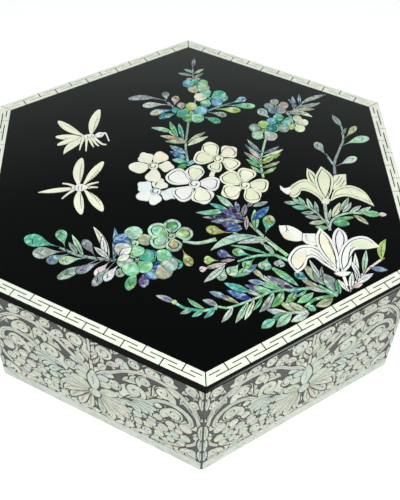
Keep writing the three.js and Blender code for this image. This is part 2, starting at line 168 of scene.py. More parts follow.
def add_surroundings():
    """Brightness by height, from the horizon up, and how much of it the room has in front of the box."""
    world = bpy.data.worlds.new("studio")
    world.use_nodes = True
    nodes, links = world.node_tree.nodes, world.node_tree.links
    where = nodes.new("ShaderNodeTexCoord")
    split = nodes.new("ShaderNodeSeparateXYZ")
    ramp = nodes.new("ShaderNodeValToRGB")
    points = ramp.color_ramp.elements
    while len(points) < len(ROOM_STOPS):
        points.new(0.5)
    for point, (height, level) in zip(points, ROOM_STOPS):
        point.position, point.color = height, (*(level * part for part in ROOM_TINT), 1)
    wall = nodes.new("ShaderNodeMapRange")
    for socket, value in zip(wall.inputs[1:5], (*ROOM_TURNS, ROOM_FRONT, 1.0)):
        socket.default_value = value
    links.new(where.outputs["Generated"], split.inputs[0])
    links.new(split.outputs["Z"], ramp.inputs["Fac"])
    links.new(split.outputs["Y"], wall.inputs[0])
    links.new(ramp.outputs["Color"], nodes["Background"].inputs["Color"])
    links.new(wall.outputs[0], nodes["Background"].inputs["Strength"])
    bpy.context.scene.world = world
    print("room:", len(points), "levels of brightness")


add_surroundings()
bpy.context.scene.view_settings.view_transform = "Standard"

# %% [markdown]
# ## Cutting shell on paper first
#
# A shell worker draws the picture, cuts every leaf and petal from thin shell, and lays them down with a
# little lacquer showing between neighbours. The same is done here on a flat sheet: outlines are stacked
# from the lowest to the highest, each one as a plate of shell or as bare lacquer, and the topmost one wins.
# First come the outlines: a blade serves for leaves, buds and petals, and a band follows a line for stems,
# scrolls and engraved strokes.

# %% Curves and bands
CURVE_PARTS = 6


def turned_left(points):
    """The outline in the order that keeps its inside on the left."""
    area = sum(a.x * b.y - b.x * a.y for a, b in zip(points, points[1:] + points[:1]))
    return points if area > 0 else points[::-1]


def smooth(points, parts):
    """Points on one smooth curve through the given ones."""
    knots = [Vector(p) for p in points]
    knots = [2 * knots[0] - knots[1]] + knots + [2 * knots[-1] - knots[-2]]
    curve = []
    for a, b, c, d in zip(knots, knots[1:], knots[2:], knots[3:]):
        for k in range(parts):
            t = k / parts
            curve.append(0.5 * (2 * b + (c - a) * t + (2 * a - 5 * b + 4 * c - d) * t * t
                                + (3 * b - a - 3 * c + d) * t ** 3))
    return curve + [knots[-2]]


def band(middle, start_width, end_width=None):
    """Outline of a line with a width, tapering from one value to another."""
    end_width = start_width if end_width is None else end_width
    left, right = [], []
    for k, point in enumerate(middle):
        ahead = middle[min(k + 1, len(middle) - 1)] - middle[max(k - 1, 0)]
        across = Vector((-ahead.y, ahead.x)).normalized()
        half = (start_width + (end_width - start_width) * k / (len(middle) - 1)) / 2
        left.append(point + across * half)
        right.append(point - across * half)
    return turned_left(left + right[::-1])


print("a smooth curve through 3 points has", len(smooth([(0, 0), (5, 2), (10, 0)], CURVE_PARTS)), "points")

# %% Blades and discs
BLADE_PARTS = 16
POINTED = (0.95, 0.95)
ROUND_TIP = (1.1, 0.5)
ROUND_ENDS = (0.55, 0.5)


def blade(x0, y0, x1, y1, width, bow=0.0, belly=0.5, ends=POINTED, parts=BLADE_PARTS):
    """Outline from a base to a tip, widest at the belly and bowed to the left."""
    base, along = Vector((x0, y0)), Vector((x1 - x0, y1 - y0))
    length = along.length
    along.normalize()
    across = Vector((-along.y, along.x))
    power = math.log(0.5) / math.log(belly)
    left, right = [], []
    for k in range(parts + 1):
        s = (1 - math.cos(math.pi * k / parts)) / 2
        middle = base + along * (s * length) + across * (4 * bow * s * (1 - s))
        heading = (along * length + across * (4 * bow * (1 - 2 * s))).normalized()
        side = Vector((-heading.y, heading.x))
        sine = max(0.0, math.sin(math.pi * s ** power))
        half = width / 2 * sine ** (ends[0] + (ends[1] - ends[0]) * s) if 0 < k < parts else 0
        left.append(middle + side * half)
        if half:
            right.append(middle - side * half)
    return turned_left(left + right[::-1])


def disc(x, y, radius, parts=14):
    turns = [2 * math.pi * k / parts for k in range(parts)]
    return [Vector((x + radius * math.cos(turn), y + radius * math.sin(turn))) for turn in turns]


print("a blade has", len(blade(0, 0, 10, 0, 4)), "points")

# %% Outlines moved outward, waves and ribs
STRAIGHT_BACK = 1e-4
SHARPEST_MITRE = 0.5


def grown(points, margin):
    """The outline moved outward, or inward for a negative margin, which may differ from point to point."""
    margins = margin if isinstance(margin, list) else [margin] * len(points)
    moved = []
    for k, point in enumerate(points):
        before = (point - points[k - 1]).normalized()
        after = (points[(k + 1) % len(points)] - point).normalized()
        outward = Vector((before.y + after.y, -before.x - after.x))
        if outward.length < STRAIGHT_BACK:
            outward = before.copy()
        outward.normalize()
        lean = outward.dot(Vector((before.y, -before.x)))
        moved.append(point + outward * margins[k] / max(SHARPEST_MITRE, lean))
    return moved


def scalloped(points, depth, waves):
    """The outline with a soft wave along it, as a petal has."""
    count = len(points)
    return grown(points, [depth * math.sin(2 * math.pi * waves * k / count) for k in range(count)])


def rib_lines(x0, y0, x1, y1, spread, bow, count, places):
    """Lines side by side that run with a bowed leaf, through the given shares of its length."""
    base, way = Vector((x0, y0)), Vector((x1 - x0, y1 - y0))
    across = Vector((-way.y, way.x)).normalized()
    lines = []
    for k in range(count):
        off = spread * ((k + 0.5) / count - 0.5)
        lines.append([base + way * s + across * (4 * (bow + off) * s * (1 - s)) for s in places])
    return lines


reach = max(p.x for p in grown(blade(0, 0, 10, 0, 4), 1))
print("a blade 10 mm long reaches to", round(reach, 2), "mm when it is grown by 1 mm")

# %% [markdown]
# ## The stack of plates
#
# The stack could be cut piece by piece with booleans, but hundreds of thin plates would take minutes and
# leave slivers. One constrained triangulation of all the outlines is quicker and exact: every triangle is
# told which outlines cover it, so the topmost of them decides whether it is shell, and of which colour, or
# bare lacquer. The shell triangles are then raised into plates with upright edges. Their undersides stay
# open, since they are glued down and never seen. Shell is seldom one colour all over, so each plate's
# colour also drifts a little from one side to the other.

# %% Stack of plates
PLATE_GAP = 0.35
ENGRAVED = 0.26
STROKE_PARTS = 4
DRIFT_SPREAD = 0.7
WELD = 1e-5


def winds_round(ring, spots):
    """Which spots the closed outline goes round."""
    a, b = ring, np.roll(ring, -1, axis=0)
    ax, ay, bx, by = (v[:, None] for v in (a[:, 0], a[:, 1], b[:, 0], b[:, 1]))
    x, y = spots[:, 0], spots[:, 1]
    left = (bx - ax) * (y - ay) - (x - ax) * (by - ay)
    up, down = (ay <= y) & (by > y) & (left > 0), (by <= y) & (ay > y) & (left < 0)
    return up.sum(axis=0) != down.sum(axis=0)


class Stack:
    shading = 0.0

    def __init__(self, seed):
        self.layers = []
        self.dice = random.Random(seed)

    def bare(self, outline):
        self.layers.append((None, None, None, turned_left(outline)))

    def plate(self, owner, outline, tint, gap=PLATE_GAP):
        """A plate of shell, with its own direction of grain."""
        outline = turned_left(outline)
        if gap:
            self.layers.append((None, None, None, grown(outline, gap)))
        grain = [self.dice.uniform(-1, 1) for _ in range(3)]
        self.layers.append((owner, (tint, *self.drift(outline)), grain, outline))

    def drift(self, outline):
        """How the colour runs across the plate: from its middle, a slope for red, for green and for blue."""
        middle = sum(outline, Vector((0, 0))) / len(outline)
        reach = max((p - middle).length for p in outline)
        turn = self.dice.uniform(0, 2 * math.pi)
        slopes = []
        for _ in range(3):
            way = turn + self.dice.uniform(-DRIFT_SPREAD, DRIFT_SPREAD)
            heading = Vector((math.cos(way), math.sin(way)))
            slopes.append(heading * self.shading * self.dice.uniform(0.6, 1.0) / reach)
        return middle, slopes

    def again(self, outline, tint=None):
        """More of the plate laid last, over what was engraved in it, in its colour or another."""
        owner, last, grain = next(layer[:3] for layer in reversed(self.layers) if layer[0])
        self.layers.append((owner, (tint, *last[1:]) if tint else last, grain, turned_left(outline)))

    def stroke(self, points, width=ENGRAVED, thin=None):
        curve = smooth(points, STROKE_PARTS) if len(points) > 2 else [Vector(p) for p in points]
        self.bare(band(curve, width, thin))

    def cut(self):
        """Triangles of the whole stack, each with the topmost outline over its middle."""
        corners, edges = [], []
        for *_, outline in self.layers:
            first, count = len(corners), len(outline)
            corners.extend(outline)
            edges.extend((first + k, first + (k + 1) % count) for k in range(count))
        points, _, triangles, *_ = delaunay_2d_cdt(corners, edges, [], 0, WELD)
        middle = np.array([tuple(p) for p in points])[np.array(triangles)].mean(axis=1)
        by_x = np.argsort(middle[:, 0])
        sorted_x = middle[by_x, 0]
        top = np.full(len(triangles), -1)
        for number, (*_, outline) in enumerate(self.layers):
            ring = np.array([tuple(p) for p in outline])
            first, last = np.searchsorted(sorted_x, (ring[:, 0].min(), ring[:, 0].max()))
            near = by_x[first:last]
            near = near[(middle[near, 1] > ring[:, 1].min()) & (middle[near, 1] < ring[:, 1].max())]
            top[near[winds_round(ring, middle[near])]] = number
        owned = {}
        for triangle, number in zip(triangles, top.tolist()):
            owner, tint, grain, _ = self.layers[number] if number >= 0 else (None,) * 4
            if owner:
                owned.setdefault(owner, []).append((triangle, tint, grain))
        return points, owned


sample = Stack(seed=0)
sample.plate("sample", disc(0, 0, 5), (1, 1, 1))
sample.stroke([(-4, 0), (4, 0)])
print("a disc with one stroke across it gives", len(sample.cut()[1]["sample"]), "triangles")

# %% Raising the plates
DARKEST = 0.25


def raise_plates(name, points, owned, place, height):
    """One mesh from the triangles of one owner: tops and edges, with colour and grain on the corners."""
    index, tops, feet, faces, looks = {}, [], [], [], []
    edges = {}
    for triangle, tint, grain in owned:
        corner = []
        for p in triangle:
            if p not in index:
                index[p] = len(tops)
                tops.append(points[p])
            corner.append(index[p])
        faces.append(corner)
        looks.append((tint, grain))
        for a, b in zip(corner, corner[1:] + corner[:1]):
            if (b, a) in edges:
                del edges[b, a]
            else:
                edges[a, b] = (tint, grain)
    foot = {}
    for (a, b), look in edges.items():
        for p in (a, b):
            if p not in foot:
                foot[p] = len(tops) + len(feet)
                feet.append(tops[p])
        faces.append([b, a, foot[a], foot[b]])
        looks.append(look)
    mesh = bpy.data.meshes.new(name)
    mesh.from_pydata([place(p.x, p.y, height) for p in tops] + [place(p.x, p.y, 0) for p in feet], [], faces)
    colour = mesh.attributes.new("tint", "FLOAT_COLOR", "CORNER")
    grain = mesh.attributes.new("grain", "FLOAT_VECTOR", "CORNER")
    colours, grains = [], []
    spots = tops + feet
    for face, ((tone, middle, slopes), turn) in zip(faces, looks):
        for k in face:
            off = spots[k] - middle
            colours.extend(c * max(DARKEST, 1 + slope.dot(off)) for c, slope in zip(tone, slopes))
            colours.append(1.0)
        grains.extend(turn * len(face))
    colour.data.foreach_set("color", colours)
    grain.data.foreach_set("vector", grains)
    piece = bpy.data.objects.new(name, mesh)
    bpy.context.scene.collection.objects.link(piece)
    return piece


print("plates are cut with", WELD, "mm between points that count as one")

# %% [markdown]
# ## Shell that shifts in colour
#
# Mother-of-pearl is built of thousands of thin layers, so each plate shows soft clouds of pink, green and
# blue and fine growth lines across it. Abalone does the same far more strongly, and dark veins run through
# it. One node group makes the clouds, lines and veins for every kind of shell. Each plate carries its own
# colour and grain as mesh attributes, since no two plates were cut from the same place.

# %% Helpers for node trees
def srgb(red, green, blue):
    """Linear colour from the 0 to 255 values that a painter would pick."""
    return tuple((v / 255 / 12.92 if v <= 10 else ((v / 255 + 0.055) / 1.055) ** 2.4)
                 for v in (red, green, blue))


class Sheet:
    """A node tree to draw on: a socket goes by its name, or by its number after an underscore."""

    def __init__(self, tree):
        self.tree = tree

    def add(self, kind, settings=None, **inputs):
        node = self.tree.nodes.new("ShaderNode" + kind)
        for key, value in (settings or {}).items():
            setattr(node, key, value)
        for key, value in inputs.items():
            label = int(key[1:]) if key[0] == "_" else key.replace("_", " ")
            socket = node.inputs[label]
            if isinstance(value, bpy.types.NodeSocket):
                self.tree.links.new(value, socket)
            else:
                socket.default_value = value
        return node

    def math(self, operation, a, b=0.0):
        return self.add("Math", {"operation": operation}, _0=a, _1=b).outputs[0]

    def spread(self, value, low, high, to_low, to_high):
        return self.add("MapRange", {}, _0=value, _1=low, _2=high, _3=to_low, _4=to_high).outputs[0]


def new_group(name, inputs, outputs):
    """An empty group with its sockets: its tree, a sheet on it, and what goes in and what comes out."""
    tree = bpy.data.node_groups.new(name, "ShaderNodeTree")
    for label, kind, value in inputs:
        socket = tree.interface.new_socket(label, in_out="INPUT", socket_type="NodeSocket" + kind)
        if value is not None:
            socket.default_value = value
    for label, kind in outputs:
        tree.interface.new_socket(label, in_out="OUTPUT", socket_type="NodeSocket" + kind)
    given, result = tree.nodes.new("NodeGroupInput"), tree.nodes.new("NodeGroupOutput")
    return tree, Sheet(tree), given.outputs, result.inputs


print("middle grey is", round(srgb(128, 128, 128)[0], 3), "to the renderer")

# %% Shell node group
GLINT = (0.72, 0.86, 0.78, 1)
PEARL_STOPS = ((0.36, srgb(255, 214, 226)), (0.45, srgb(255, 252, 238)), (0.54, srgb(206, 246, 220)),
               (0.62, srgb(208, 226, 255)))


def make_shell_group():
    tree, sheet, given, result = new_group(
        "shell_lustre",
        [("Place", "Vector", None), ("Tint", "Color", (1, 1, 1, 1)), ("Clouds per metre", "Float", 120.0),
         ("Hue play", "Float", 0.1), ("Lustre", "Float", 0.2), ("Shade play", "Float", 0.2),
         ("Veins", "Float", 0.0), ("Growth lines", "Float", 0.2), ("Glint", "Float", 0.0)],
        [("Colour", "Color"), ("Roughness", "Float"), ("Height", "Float")])
    clouds = sheet.add("TexNoise", {}, Vector=given["Place"], Scale=given["Clouds per metre"], Detail=3.0,
                       Distortion=1.4)
    finer = sheet.math("MULTIPLY", given["Clouds per metre"], 2.6)
    shades = sheet.add("TexNoise", {}, Vector=given["Place"], Scale=finer, Detail=4.0, Distortion=0.6)
    close = sheet.math("MULTIPLY", given["Clouds per metre"], 3.2)
    lines = sheet.add("TexWave", {"bands_direction": "DIAGONAL"}, Vector=given["Place"], Scale=close,
                      Distortion=5.0, Detail=2.0)
    cloud = sheet.spread(clouds.outputs["Fac"], 0.32, 0.68, -1.0, 1.0)
    hue = sheet.math("ADD", sheet.math("MULTIPLY", cloud, given["Hue play"]), 0.5)
    shade = sheet.spread(shades.outputs["Fac"], 0.3, 0.7, -1.0, 0.6)
    value = sheet.math("ADD", sheet.math("MULTIPLY", shade, given["Shade play"]), 1.0)
    line = sheet.math("MULTIPLY", sheet.math("SUBTRACT", lines.outputs["Fac"], 0.5), given["Growth lines"])
    value = sheet.math("ADD", value, line)
    apart = sheet.math("MULTIPLY", given["Clouds per metre"], 1.7)
    vein = sheet.add("TexNoise", {}, Vector=given["Place"], Scale=apart, Detail=2.0, Distortion=2.2)
    near_vein = sheet.math("ABSOLUTE", sheet.math("SUBTRACT", vein.outputs["Fac"], 0.5))
    dark = sheet.math("MULTIPLY", sheet.spread(near_vein, 0.0, 0.035, 1.0, 0.0), given["Veins"])
    value = sheet.math("MULTIPLY", value, sheet.math("SUBTRACT", 1.0, dark))
    shifted = sheet.add("HueSaturation", {}, Hue=hue, Saturation=1.0, Value=value, Fac=1.0,
                        Color=given["Tint"])
    bright = sheet.math("MULTIPLY", sheet.spread(shades.outputs["Fac"], 0.5, 0.66, 0.0, 1.0), given["Glint"])
    lit = sheet.add("Mix", {"data_type": "RGBA"}, _0=bright, _6=shifted.outputs["Color"], _7=GLINT)
    pearls = sheet.add("ValToRGB", {}, Fac=clouds.outputs["Color"])
    ramp = pearls.color_ramp
    for k, (stop, tone) in enumerate(PEARL_STOPS):
        point = ramp.elements.new(stop) if k else ramp.elements[0]
        point.position, point.color = stop, (*tone, 1)
    ramp.elements.remove(ramp.elements[-1])
    pearly = sheet.add("Mix", {"data_type": "RGBA", "blend_type": "MULTIPLY"}, _0=given["Lustre"],
                       _6=lit.outputs[2], _7=pearls.outputs["Color"])
    sheet.tree.links.new(pearly.outputs[2], result["Colour"])
    sheet.tree.links.new(sheet.spread(shades.outputs["Fac"], 0.3, 0.7, 0.2, 0.38), result["Roughness"])
    sheet.tree.links.new(sheet.math("ADD", lines.outputs["Fac"], dark), result["Height"])
    print("group", tree.name, "with", len(tree.nodes), "nodes")
    return tree


SHELL_GROUP = make_shell_group()

# %% [markdown]
# ## The kinds of shell
#
# The white petals are plain mother-of-pearl, and the cream lily a yellower one. The walls are a greyer and
# duller shell. The leaves and buds are abalone in greens, blues and, on the twigs, pale greys. They all
# share the group above and differ in how much the hue, shade and veins play. The strips that stay plain
# have one tint all over.

# %% Shell materials
SHELL_RELIEF = 0.00002


def make_shell(name, clouds, hue_play, lustre, shade_play, growth, veins=0, glint=0, tint=None):
    """A shell whose plates carry their own tint and grain, or one with a single tint."""
    material = bpy.data.materials.new(name)
    material.use_nodes = True
    sheet = Sheet(material.node_tree)
    shader = material.node_tree.nodes["Principled BSDF"]
    place = sheet.add("TexCoord").outputs["Object"]
    if tint:
        colour = (*tint, 1)
    else:
        grain = sheet.add("Attribute", {"attribute_name": "grain"}).outputs["Vector"]
        place = sheet.add("VectorMath", {"operation": "ADD"}, _0=place, _1=grain).outputs[0]
        colour = sheet.add("Attribute", {"attribute_name": "tint"}).outputs["Color"]
    shell = sheet.add("Group", {"node_tree": SHELL_GROUP}, Place=place, Tint=colour, Clouds_per_metre=clouds,
                      Hue_play=hue_play, Lustre=lustre, Shade_play=shade_play, Veins=veins,
                      Growth_lines=growth, Glint=glint)
    bump = sheet.add("Bump", {}, Strength=0.35, Distance=SHELL_RELIEF, Height=shell.outputs["Height"])
    sheet.tree.links.new(shell.outputs["Colour"], shader.inputs["Base Color"])
    sheet.tree.links.new(shell.outputs["Roughness"], shader.inputs["Roughness"])
    sheet.tree.links.new(bump.outputs["Normal"], shader.inputs["Normal"])
    shader.inputs["Specular IOR Level"].default_value = 0.2
    shader.inputs["Coat Weight"].default_value = 0.1
    shader.inputs["Coat Roughness"].default_value = 0.12
    return material


WHITE = srgb(234, 236, 224)
GREY = srgb(180, 186, 176)
WHITE_LOOK = {"clouds": 70, "hue_play": 0.02, "lustre": 0.14, "shade_play": 0.05, "growth": 0.04}
GREY_LOOK = {"clouds": 50, "hue_play": 0.01, "lustre": 0.12, "shade_play": 0.2, "growth": 0.12}
white_shell = make_shell("white_shell", **WHITE_LOOK)
plain_white = make_shell("plain_white_shell", tint=WHITE, **WHITE_LOOK)
cream_shell = make_shell("cream_shell", clouds=90, hue_play=0.03, lustre=0.14, shade_play=0.07, growth=0.05)
grey_shell = make_shell("grey_shell", **GREY_LOOK)
plain_grey = make_shell("plain_grey_shell", tint=GREY, **GREY_LOOK)
green_shell = make_shell("green_shell", clouds=130, hue_play=0.07, lustre=0.3, shade_play=0.30, growth=0.16,
                         veins=0.4, glint=0.55)
blue_shell = make_shell("blue_shell", clouds=140, hue_play=0.09, lustre=0.3, shade_play=0.34, growth=0.16,
                        veins=0.5, glint=0.5)
abalone_grey = make_shell("abalone_grey", clouds=120, hue_play=0.04, lustre=0.3, shade_play=0.2, growth=0.12,
                          veins=0.3, glint=0.35)
print("shells:", [shell.name for shell in (white_shell, plain_white, cream_shell, grey_shell, plain_grey,
                                           green_shell, blue_shell, abalone_grey)])

# %% [markdown]
# ## Black lacquer
#
# Many coats of lacquer are rubbed down and polished, so the surface is almost a mirror, with a faint haze
# of fine scratches and a very slight waviness. The colour hardly matters. The polish is what the eye sees,
# so the haze and the waviness go into roughness and relief, and a thin coat on top keeps the reflection
# sharp. A thin grey line is painted into the colour along the rounded lower edge of the lid, on its
# right-hand half: a painted highlight where that edge catches the light.

# %% Lacquer node group
def make_haze_group():
    tree, sheet, given, result = new_group(
        "polish_haze",
        [("Place", "Vector", None), ("Smoothest", "Float", 0.08), ("Dullest", "Float", 0.2)],
        [("Roughness", "Float"), ("Dust", "Float"), ("Height", "Float")])
    cloud = sheet.add("TexNoise", {}, Vector=given["Place"], Scale=35.0, Detail=5.0, Roughness=0.6)
    drawn = sheet.add("VectorMath", {"operation": "MULTIPLY"}, _0=given["Place"], _1=(1.0, 9.0, 9.0))
    scratch = sheet.add("TexNoise", {}, Vector=drawn.outputs[0], Scale=160.0, Detail=3.0)
    speck = sheet.add("TexNoise", {}, Vector=given["Place"], Scale=1400.0, Detail=1.0)
    wave = sheet.add("TexNoise", {}, Vector=given["Place"], Scale=22.0, Detail=1.0)
    span = sheet.math("SUBTRACT", given["Dullest"], given["Smoothest"])
    clouded = sheet.math("MULTIPLY", sheet.spread(cloud.outputs["Fac"], 0.35, 0.7, 0, 1), 0.7)
    scratched = sheet.math("MULTIPLY", sheet.spread(scratch.outputs["Fac"], 0.55, 0.75, 0, 1), 0.3)
    mask = sheet.math("ADD", clouded, scratched)
    rough = sheet.math("ADD", sheet.math("MULTIPLY", mask, span), given["Smoothest"])
    sheet.tree.links.new(rough, result["Roughness"])
    sheet.tree.links.new(sheet.spread(speck.outputs["Fac"], 0.68, 0.8, 0, 1), result["Dust"])
    sheet.tree.links.new(wave.outputs["Fac"], result["Height"])
    print("group", tree.name, "with", len(tree.nodes), "nodes")
    return tree


HAZE_GROUP = make_haze_group()

# %% Lacquer material
# Heights and side of the painted highlight: a grey line along the rounded lower edge of the lid, right-hand
# half only.
ARRIS_TOP = 0.0859
HIGHLIGHT_STARTS = (ARRIS_TOP - 0.0021, ARRIS_TOP - 0.0016)
HIGHLIGHT_ENDS = (ARRIS_TOP - 0.0008, ARRIS_TOP)
HIGHLIGHT_ALONG = (0.0, 0.02)
DUST = srgb(60, 62, 60)
ARRIS_HIGHLIGHT = srgb(122, 124, 118)


def make_lacquer(name, colour, smoothest, dullest, edge_polish, painted_highlight=None):
    material = bpy.data.materials.new(name)
    material.use_nodes = True
    sheet = Sheet(material.node_tree)
    shader = material.node_tree.nodes["Principled BSDF"]
    place = sheet.add("TexCoord").outputs["Object"]
    haze = sheet.add("Group", {"node_tree": HAZE_GROUP}, Place=place, Smoothest=smoothest, Dullest=dullest)
    mixed = sheet.add("Mix", {"data_type": "RGBA"}, _0=sheet.math("MULTIPLY", haze.outputs["Dust"], 0.25),
                      _6=(*colour, 1), _7=(*DUST, 1))
    # painted highlight: a grey line mixed into the colour along the rounded lower edge, on the right-hand
    # half, where the edge catches the light
    if painted_highlight:
        at = sheet.add("SeparateXYZ", {}, _0=place).outputs
        line = sheet.math("MULTIPLY", sheet.spread(at["Z"], *HIGHLIGHT_ENDS, 1.0, 0.0),
                          sheet.spread(at["Z"], *HIGHLIGHT_STARTS, 0.0, 1.0))
        line = sheet.math("MULTIPLY", line, sheet.spread(at["X"], *HIGHLIGHT_ALONG, 0.0, 1.0))
        mixed = sheet.add("Mix", {"data_type": "RGBA"}, _0=line, _6=mixed.outputs[2], _7=(*painted_highlight, 1))
    bump = sheet.add("Bump", {}, Strength=0.2, Distance=0.0001, Height=haze.outputs["Height"])
    facing = sheet.add("SeparateXYZ", {}, _0=sheet.add("NewGeometry").outputs["Normal"]).outputs
    polish = sheet.spread(facing["Z"], 0.5, 0.9, edge_polish, 1.0)
    sheet.tree.links.new(polish, shader.inputs["Coat Weight"])
    shader.inputs["Coat Roughness"].default_value = 0.1
    shader.inputs["Specular IOR Level"].default_value = 0.0
    sheet.tree.links.new(mixed.outputs[2], shader.inputs["Base Color"])
    sheet.tree.links.new(haze.outputs["Roughness"], shader.inputs["Roughness"])
    sheet.tree.links.new(bump.outputs["Normal"], shader.inputs["Normal"])
    return material


# the lid's lacquer carries the painted highlight on its lower edge
lid_lacquer = make_lacquer("lid_lacquer", srgb(8, 10, 10), smoothest=0.1, dullest=0.24, edge_polish=0.05,
                           painted_highlight=ARRIS_HIGHLIGHT)
body_lacquer = make_lacquer("body_lacquer", srgb(36, 42, 38), smoothest=0.2, dullest=0.35, edge_polish=0.6)
print("materials:", [m.name for m in bpy.data.materials])

# %% [markdown]
# ## Lacquer on the body and the lid
#
# The wood keeps its shape from the solid model and only takes the finish, and so do the plain strips of
# shell along the foot. The plain plates of the border and the walls get their shell too, before finer ones
# take their place.

# %% Finish the wood and the plain strips
def finish_node(node, material):
    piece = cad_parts[node]
    piece.data.materials.clear()
    piece.data.materials.append(material)


finish_node("body", body_lacquer)
finish_node("lid", lid_lacquer)
for side in range(1, SIDES + 1):
    finish_node(f"foot_strip_{side}", plain_grey)
    finish_node(f"lid_border_{side}", plain_white)
    finish_node(f"side_panel_{side}", plain_grey)
print("finished:", 2 + 3 * SIDES, "solids")

# %% [markdown]
# ## The key border
#
# Round the lid runs a strip of white shell on each side, mitred at the corners. Fine dark lines divide it
# in the old key pattern: stems stand on the outer and the inner edge in turn, and each carries a bar, so
# the bars of neighbours lie over each other. The lines are real cuts through the shell that show the
# lacquer, not paint.

# %% Key border
LID_TOP = 88.6
LID_SHELL = 0.39
BORDER_OUTER = 112.433
BORDER_WIDTH = 6.2
MITRE_LINE = 0.3
KEY_LINE = 0.62
KEY_STEMS = 11
KEY_PITCH = 10.3
KEY_BAR = 14.0
KEY_END = 1.4


def turned_to(side, x, y):
    """From the drawing of one side, with outward as minus y, to where that side of the box faces."""
    angle = (2 * side - 1) * HALF_SIDE
    return x * math.cos(angle) - y * math.sin(angle), x * math.sin(angle) + y * math.cos(angle)


def on_side(side, x, y, z):
    """The place on the box in metres, from the drawing of one side in millimetres."""
    return Vector((*turned_to(side, x, y), z)) * MM


def box_outline(x0, y0, x1, y1):
    return [Vector((x0, y0)), Vector((x1, y0)), Vector((x1, y1)), Vector((x0, y1))]


def key_border():
    stack = Stack(seed=3)
    outer, inner = BORDER_OUTER, BORDER_OUTER - BORDER_WIDTH

    def half(apothem):
        return apothem * math.tan(HALF_SIDE) - MITRE_LINE

    stack.plate("border", [Vector((-half(outer), -outer)), Vector((half(outer), -outer)),
                           Vector((half(inner), -inner)), Vector((-half(inner), -inner))], WHITE, gap=0)
    for i in range(-1, KEY_STEMS + 1):
        x = (i - (KEY_STEMS - 1) / 2) * KEY_PITCH
        foot, way = (-outer, 1) if i % 2 else (-inner, -1)
        bar = foot + way * BORDER_WIDTH * 2 / 3
        reach = half(-bar) - KEY_END
        if 0 <= i < KEY_STEMS:
            stack.bare(box_outline(x - KEY_LINE / 2, min(foot, bar), x + KEY_LINE / 2, max(foot, bar)))
        stack.bare(box_outline(max(x - KEY_BAR / 2, -reach), bar - KEY_LINE / 2,
                               min(x + KEY_BAR / 2, reach), bar + KEY_LINE / 2))
    return stack.cut()


def add_border():
    points, owned = key_border()
    for side in range(1, SIDES + 1):
        strip = raise_plates(f"key_border_{side}", points, owned["border"],
                             lambda x, y, z, side=side: on_side(side, x, y, LID_TOP + z), LID_SHELL)
        strip.data.materials.append(white_shell)
        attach(strip, "root")
        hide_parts(f"lid_border_{side}")
    print("border strip:", len(strip.data.polygons), "faces")


add_border()

# %% [markdown]
# ## The scroll panels
#
# Each wall carries an openwork of scrolls with the same right and left half: a stalk and leaves in the
# middle, a vine that sweeps over the top and down the side, curling volutes, and berries. Small comma
# leaves fill what is left. The worker sawed one pattern through several sheets at once, so one panel is cut
# here and laid on all six walls. The comma leaves lie lowest and follow the swirl round the nearest volute.

# %% Parts of the scroll panel
PANEL_HALF = 62.54
PANEL_HEIGHT = 72.8
PANEL_BOTTOM = 8.4
WALL_FACE = 109.083
WALL_SHELL = 0.48
PANEL_GAP = 0.86
PANEL_LINE = 0.28
COMMA_LINE = 0.22
LEAF_PLACES = (0.18, 0.45, 0.7, 0.88)
VOLUTES = [(25, 40.5, 6.3, 70, 1, 17, 30), (47, 36.2, 4.9, 200, 1, 40, 28),
           (41, 51.5, 4.5, 250, -1, 47, 44.5), (30.5, 54, 3.6, 0, 1, 28, 47.5),
           (8, 62.8, 5.0, 120, 1, 2.5, 57), (17.5, 61.5, 2.8, 200, -1, 22, 57),
           (25.5, 65, 3.3, 330, 1, 21, 70), (34.5, 65.2, 3.3, 200, -1, 39, 60.5),
           (43.6, 65.5, 3.3, 40, 1, 49, 62), (56.5, 64, 3.6, 200, 1, 52, 71),
           (57.6, 53.5, 3.0, 100, 1, 61.2, 43), (12.6, 37.5, 4.0, 160, -1, 3, 40),
           (13.5, 9, 4.2, 40, 1, 3.5, 17), (57.6, 5.2, 3.4, 200, 1, 50, 1.5), (31, 7, 3.2, 60, -1, 24, 3)]
BERRIES = [(37.6, 26.5, 2.7), (44.8, 25, 2.8), (53.4, 27.6, 3.6), (33.6, 17.6, 2.9), (40.5, 18.2, 3.1),
           (47.2, 16.8, 2.6), (53.4, 17.6, 2.9), (49.6, 21.6, 2.2), (25.6, 19.4, 2.8), (38, 10.2, 2.8),
           (44.8, 9.6, 2.4), (25.8, 12.6, 2.6), (19.6, 15.6, 2.5), (59.8, 22.5, 2.0), (51, 10.6, 2.2),
           (20.4, 4.6, 2.6)]
SHELL_TONES = [srgb(186, 190, 177), srgb(178, 184, 172), srgb(190, 189, 173), srgb(180, 188, 170),
               srgb(185, 182, 175), srgb(176, 187, 178)]


def swirl(u, v):
    """Heading of the ground at a point: round the volutes, the nearest the strongest."""
    pull = Vector((0.002 * u, 0.02))
    for x, y, radius, _, hand, *_ in VOLUTES:
        away = Vector((u - x, v - y))
        pull += Vector((-away.y, away.x)) * hand * radius / max(away.length, 2) ** 3
    return pull.normalized()


def mirrored(outline, mirror):
    return [Vector((p[0] * mirror, p[1])) for p in outline]


print("beside the vine the ground runs towards", [round(v, 2) for v in swirl(30, 60)])

# %% Commas, volutes, berries and leaves
CURL_TURNS = 1.2
CURL_PARTS = 20


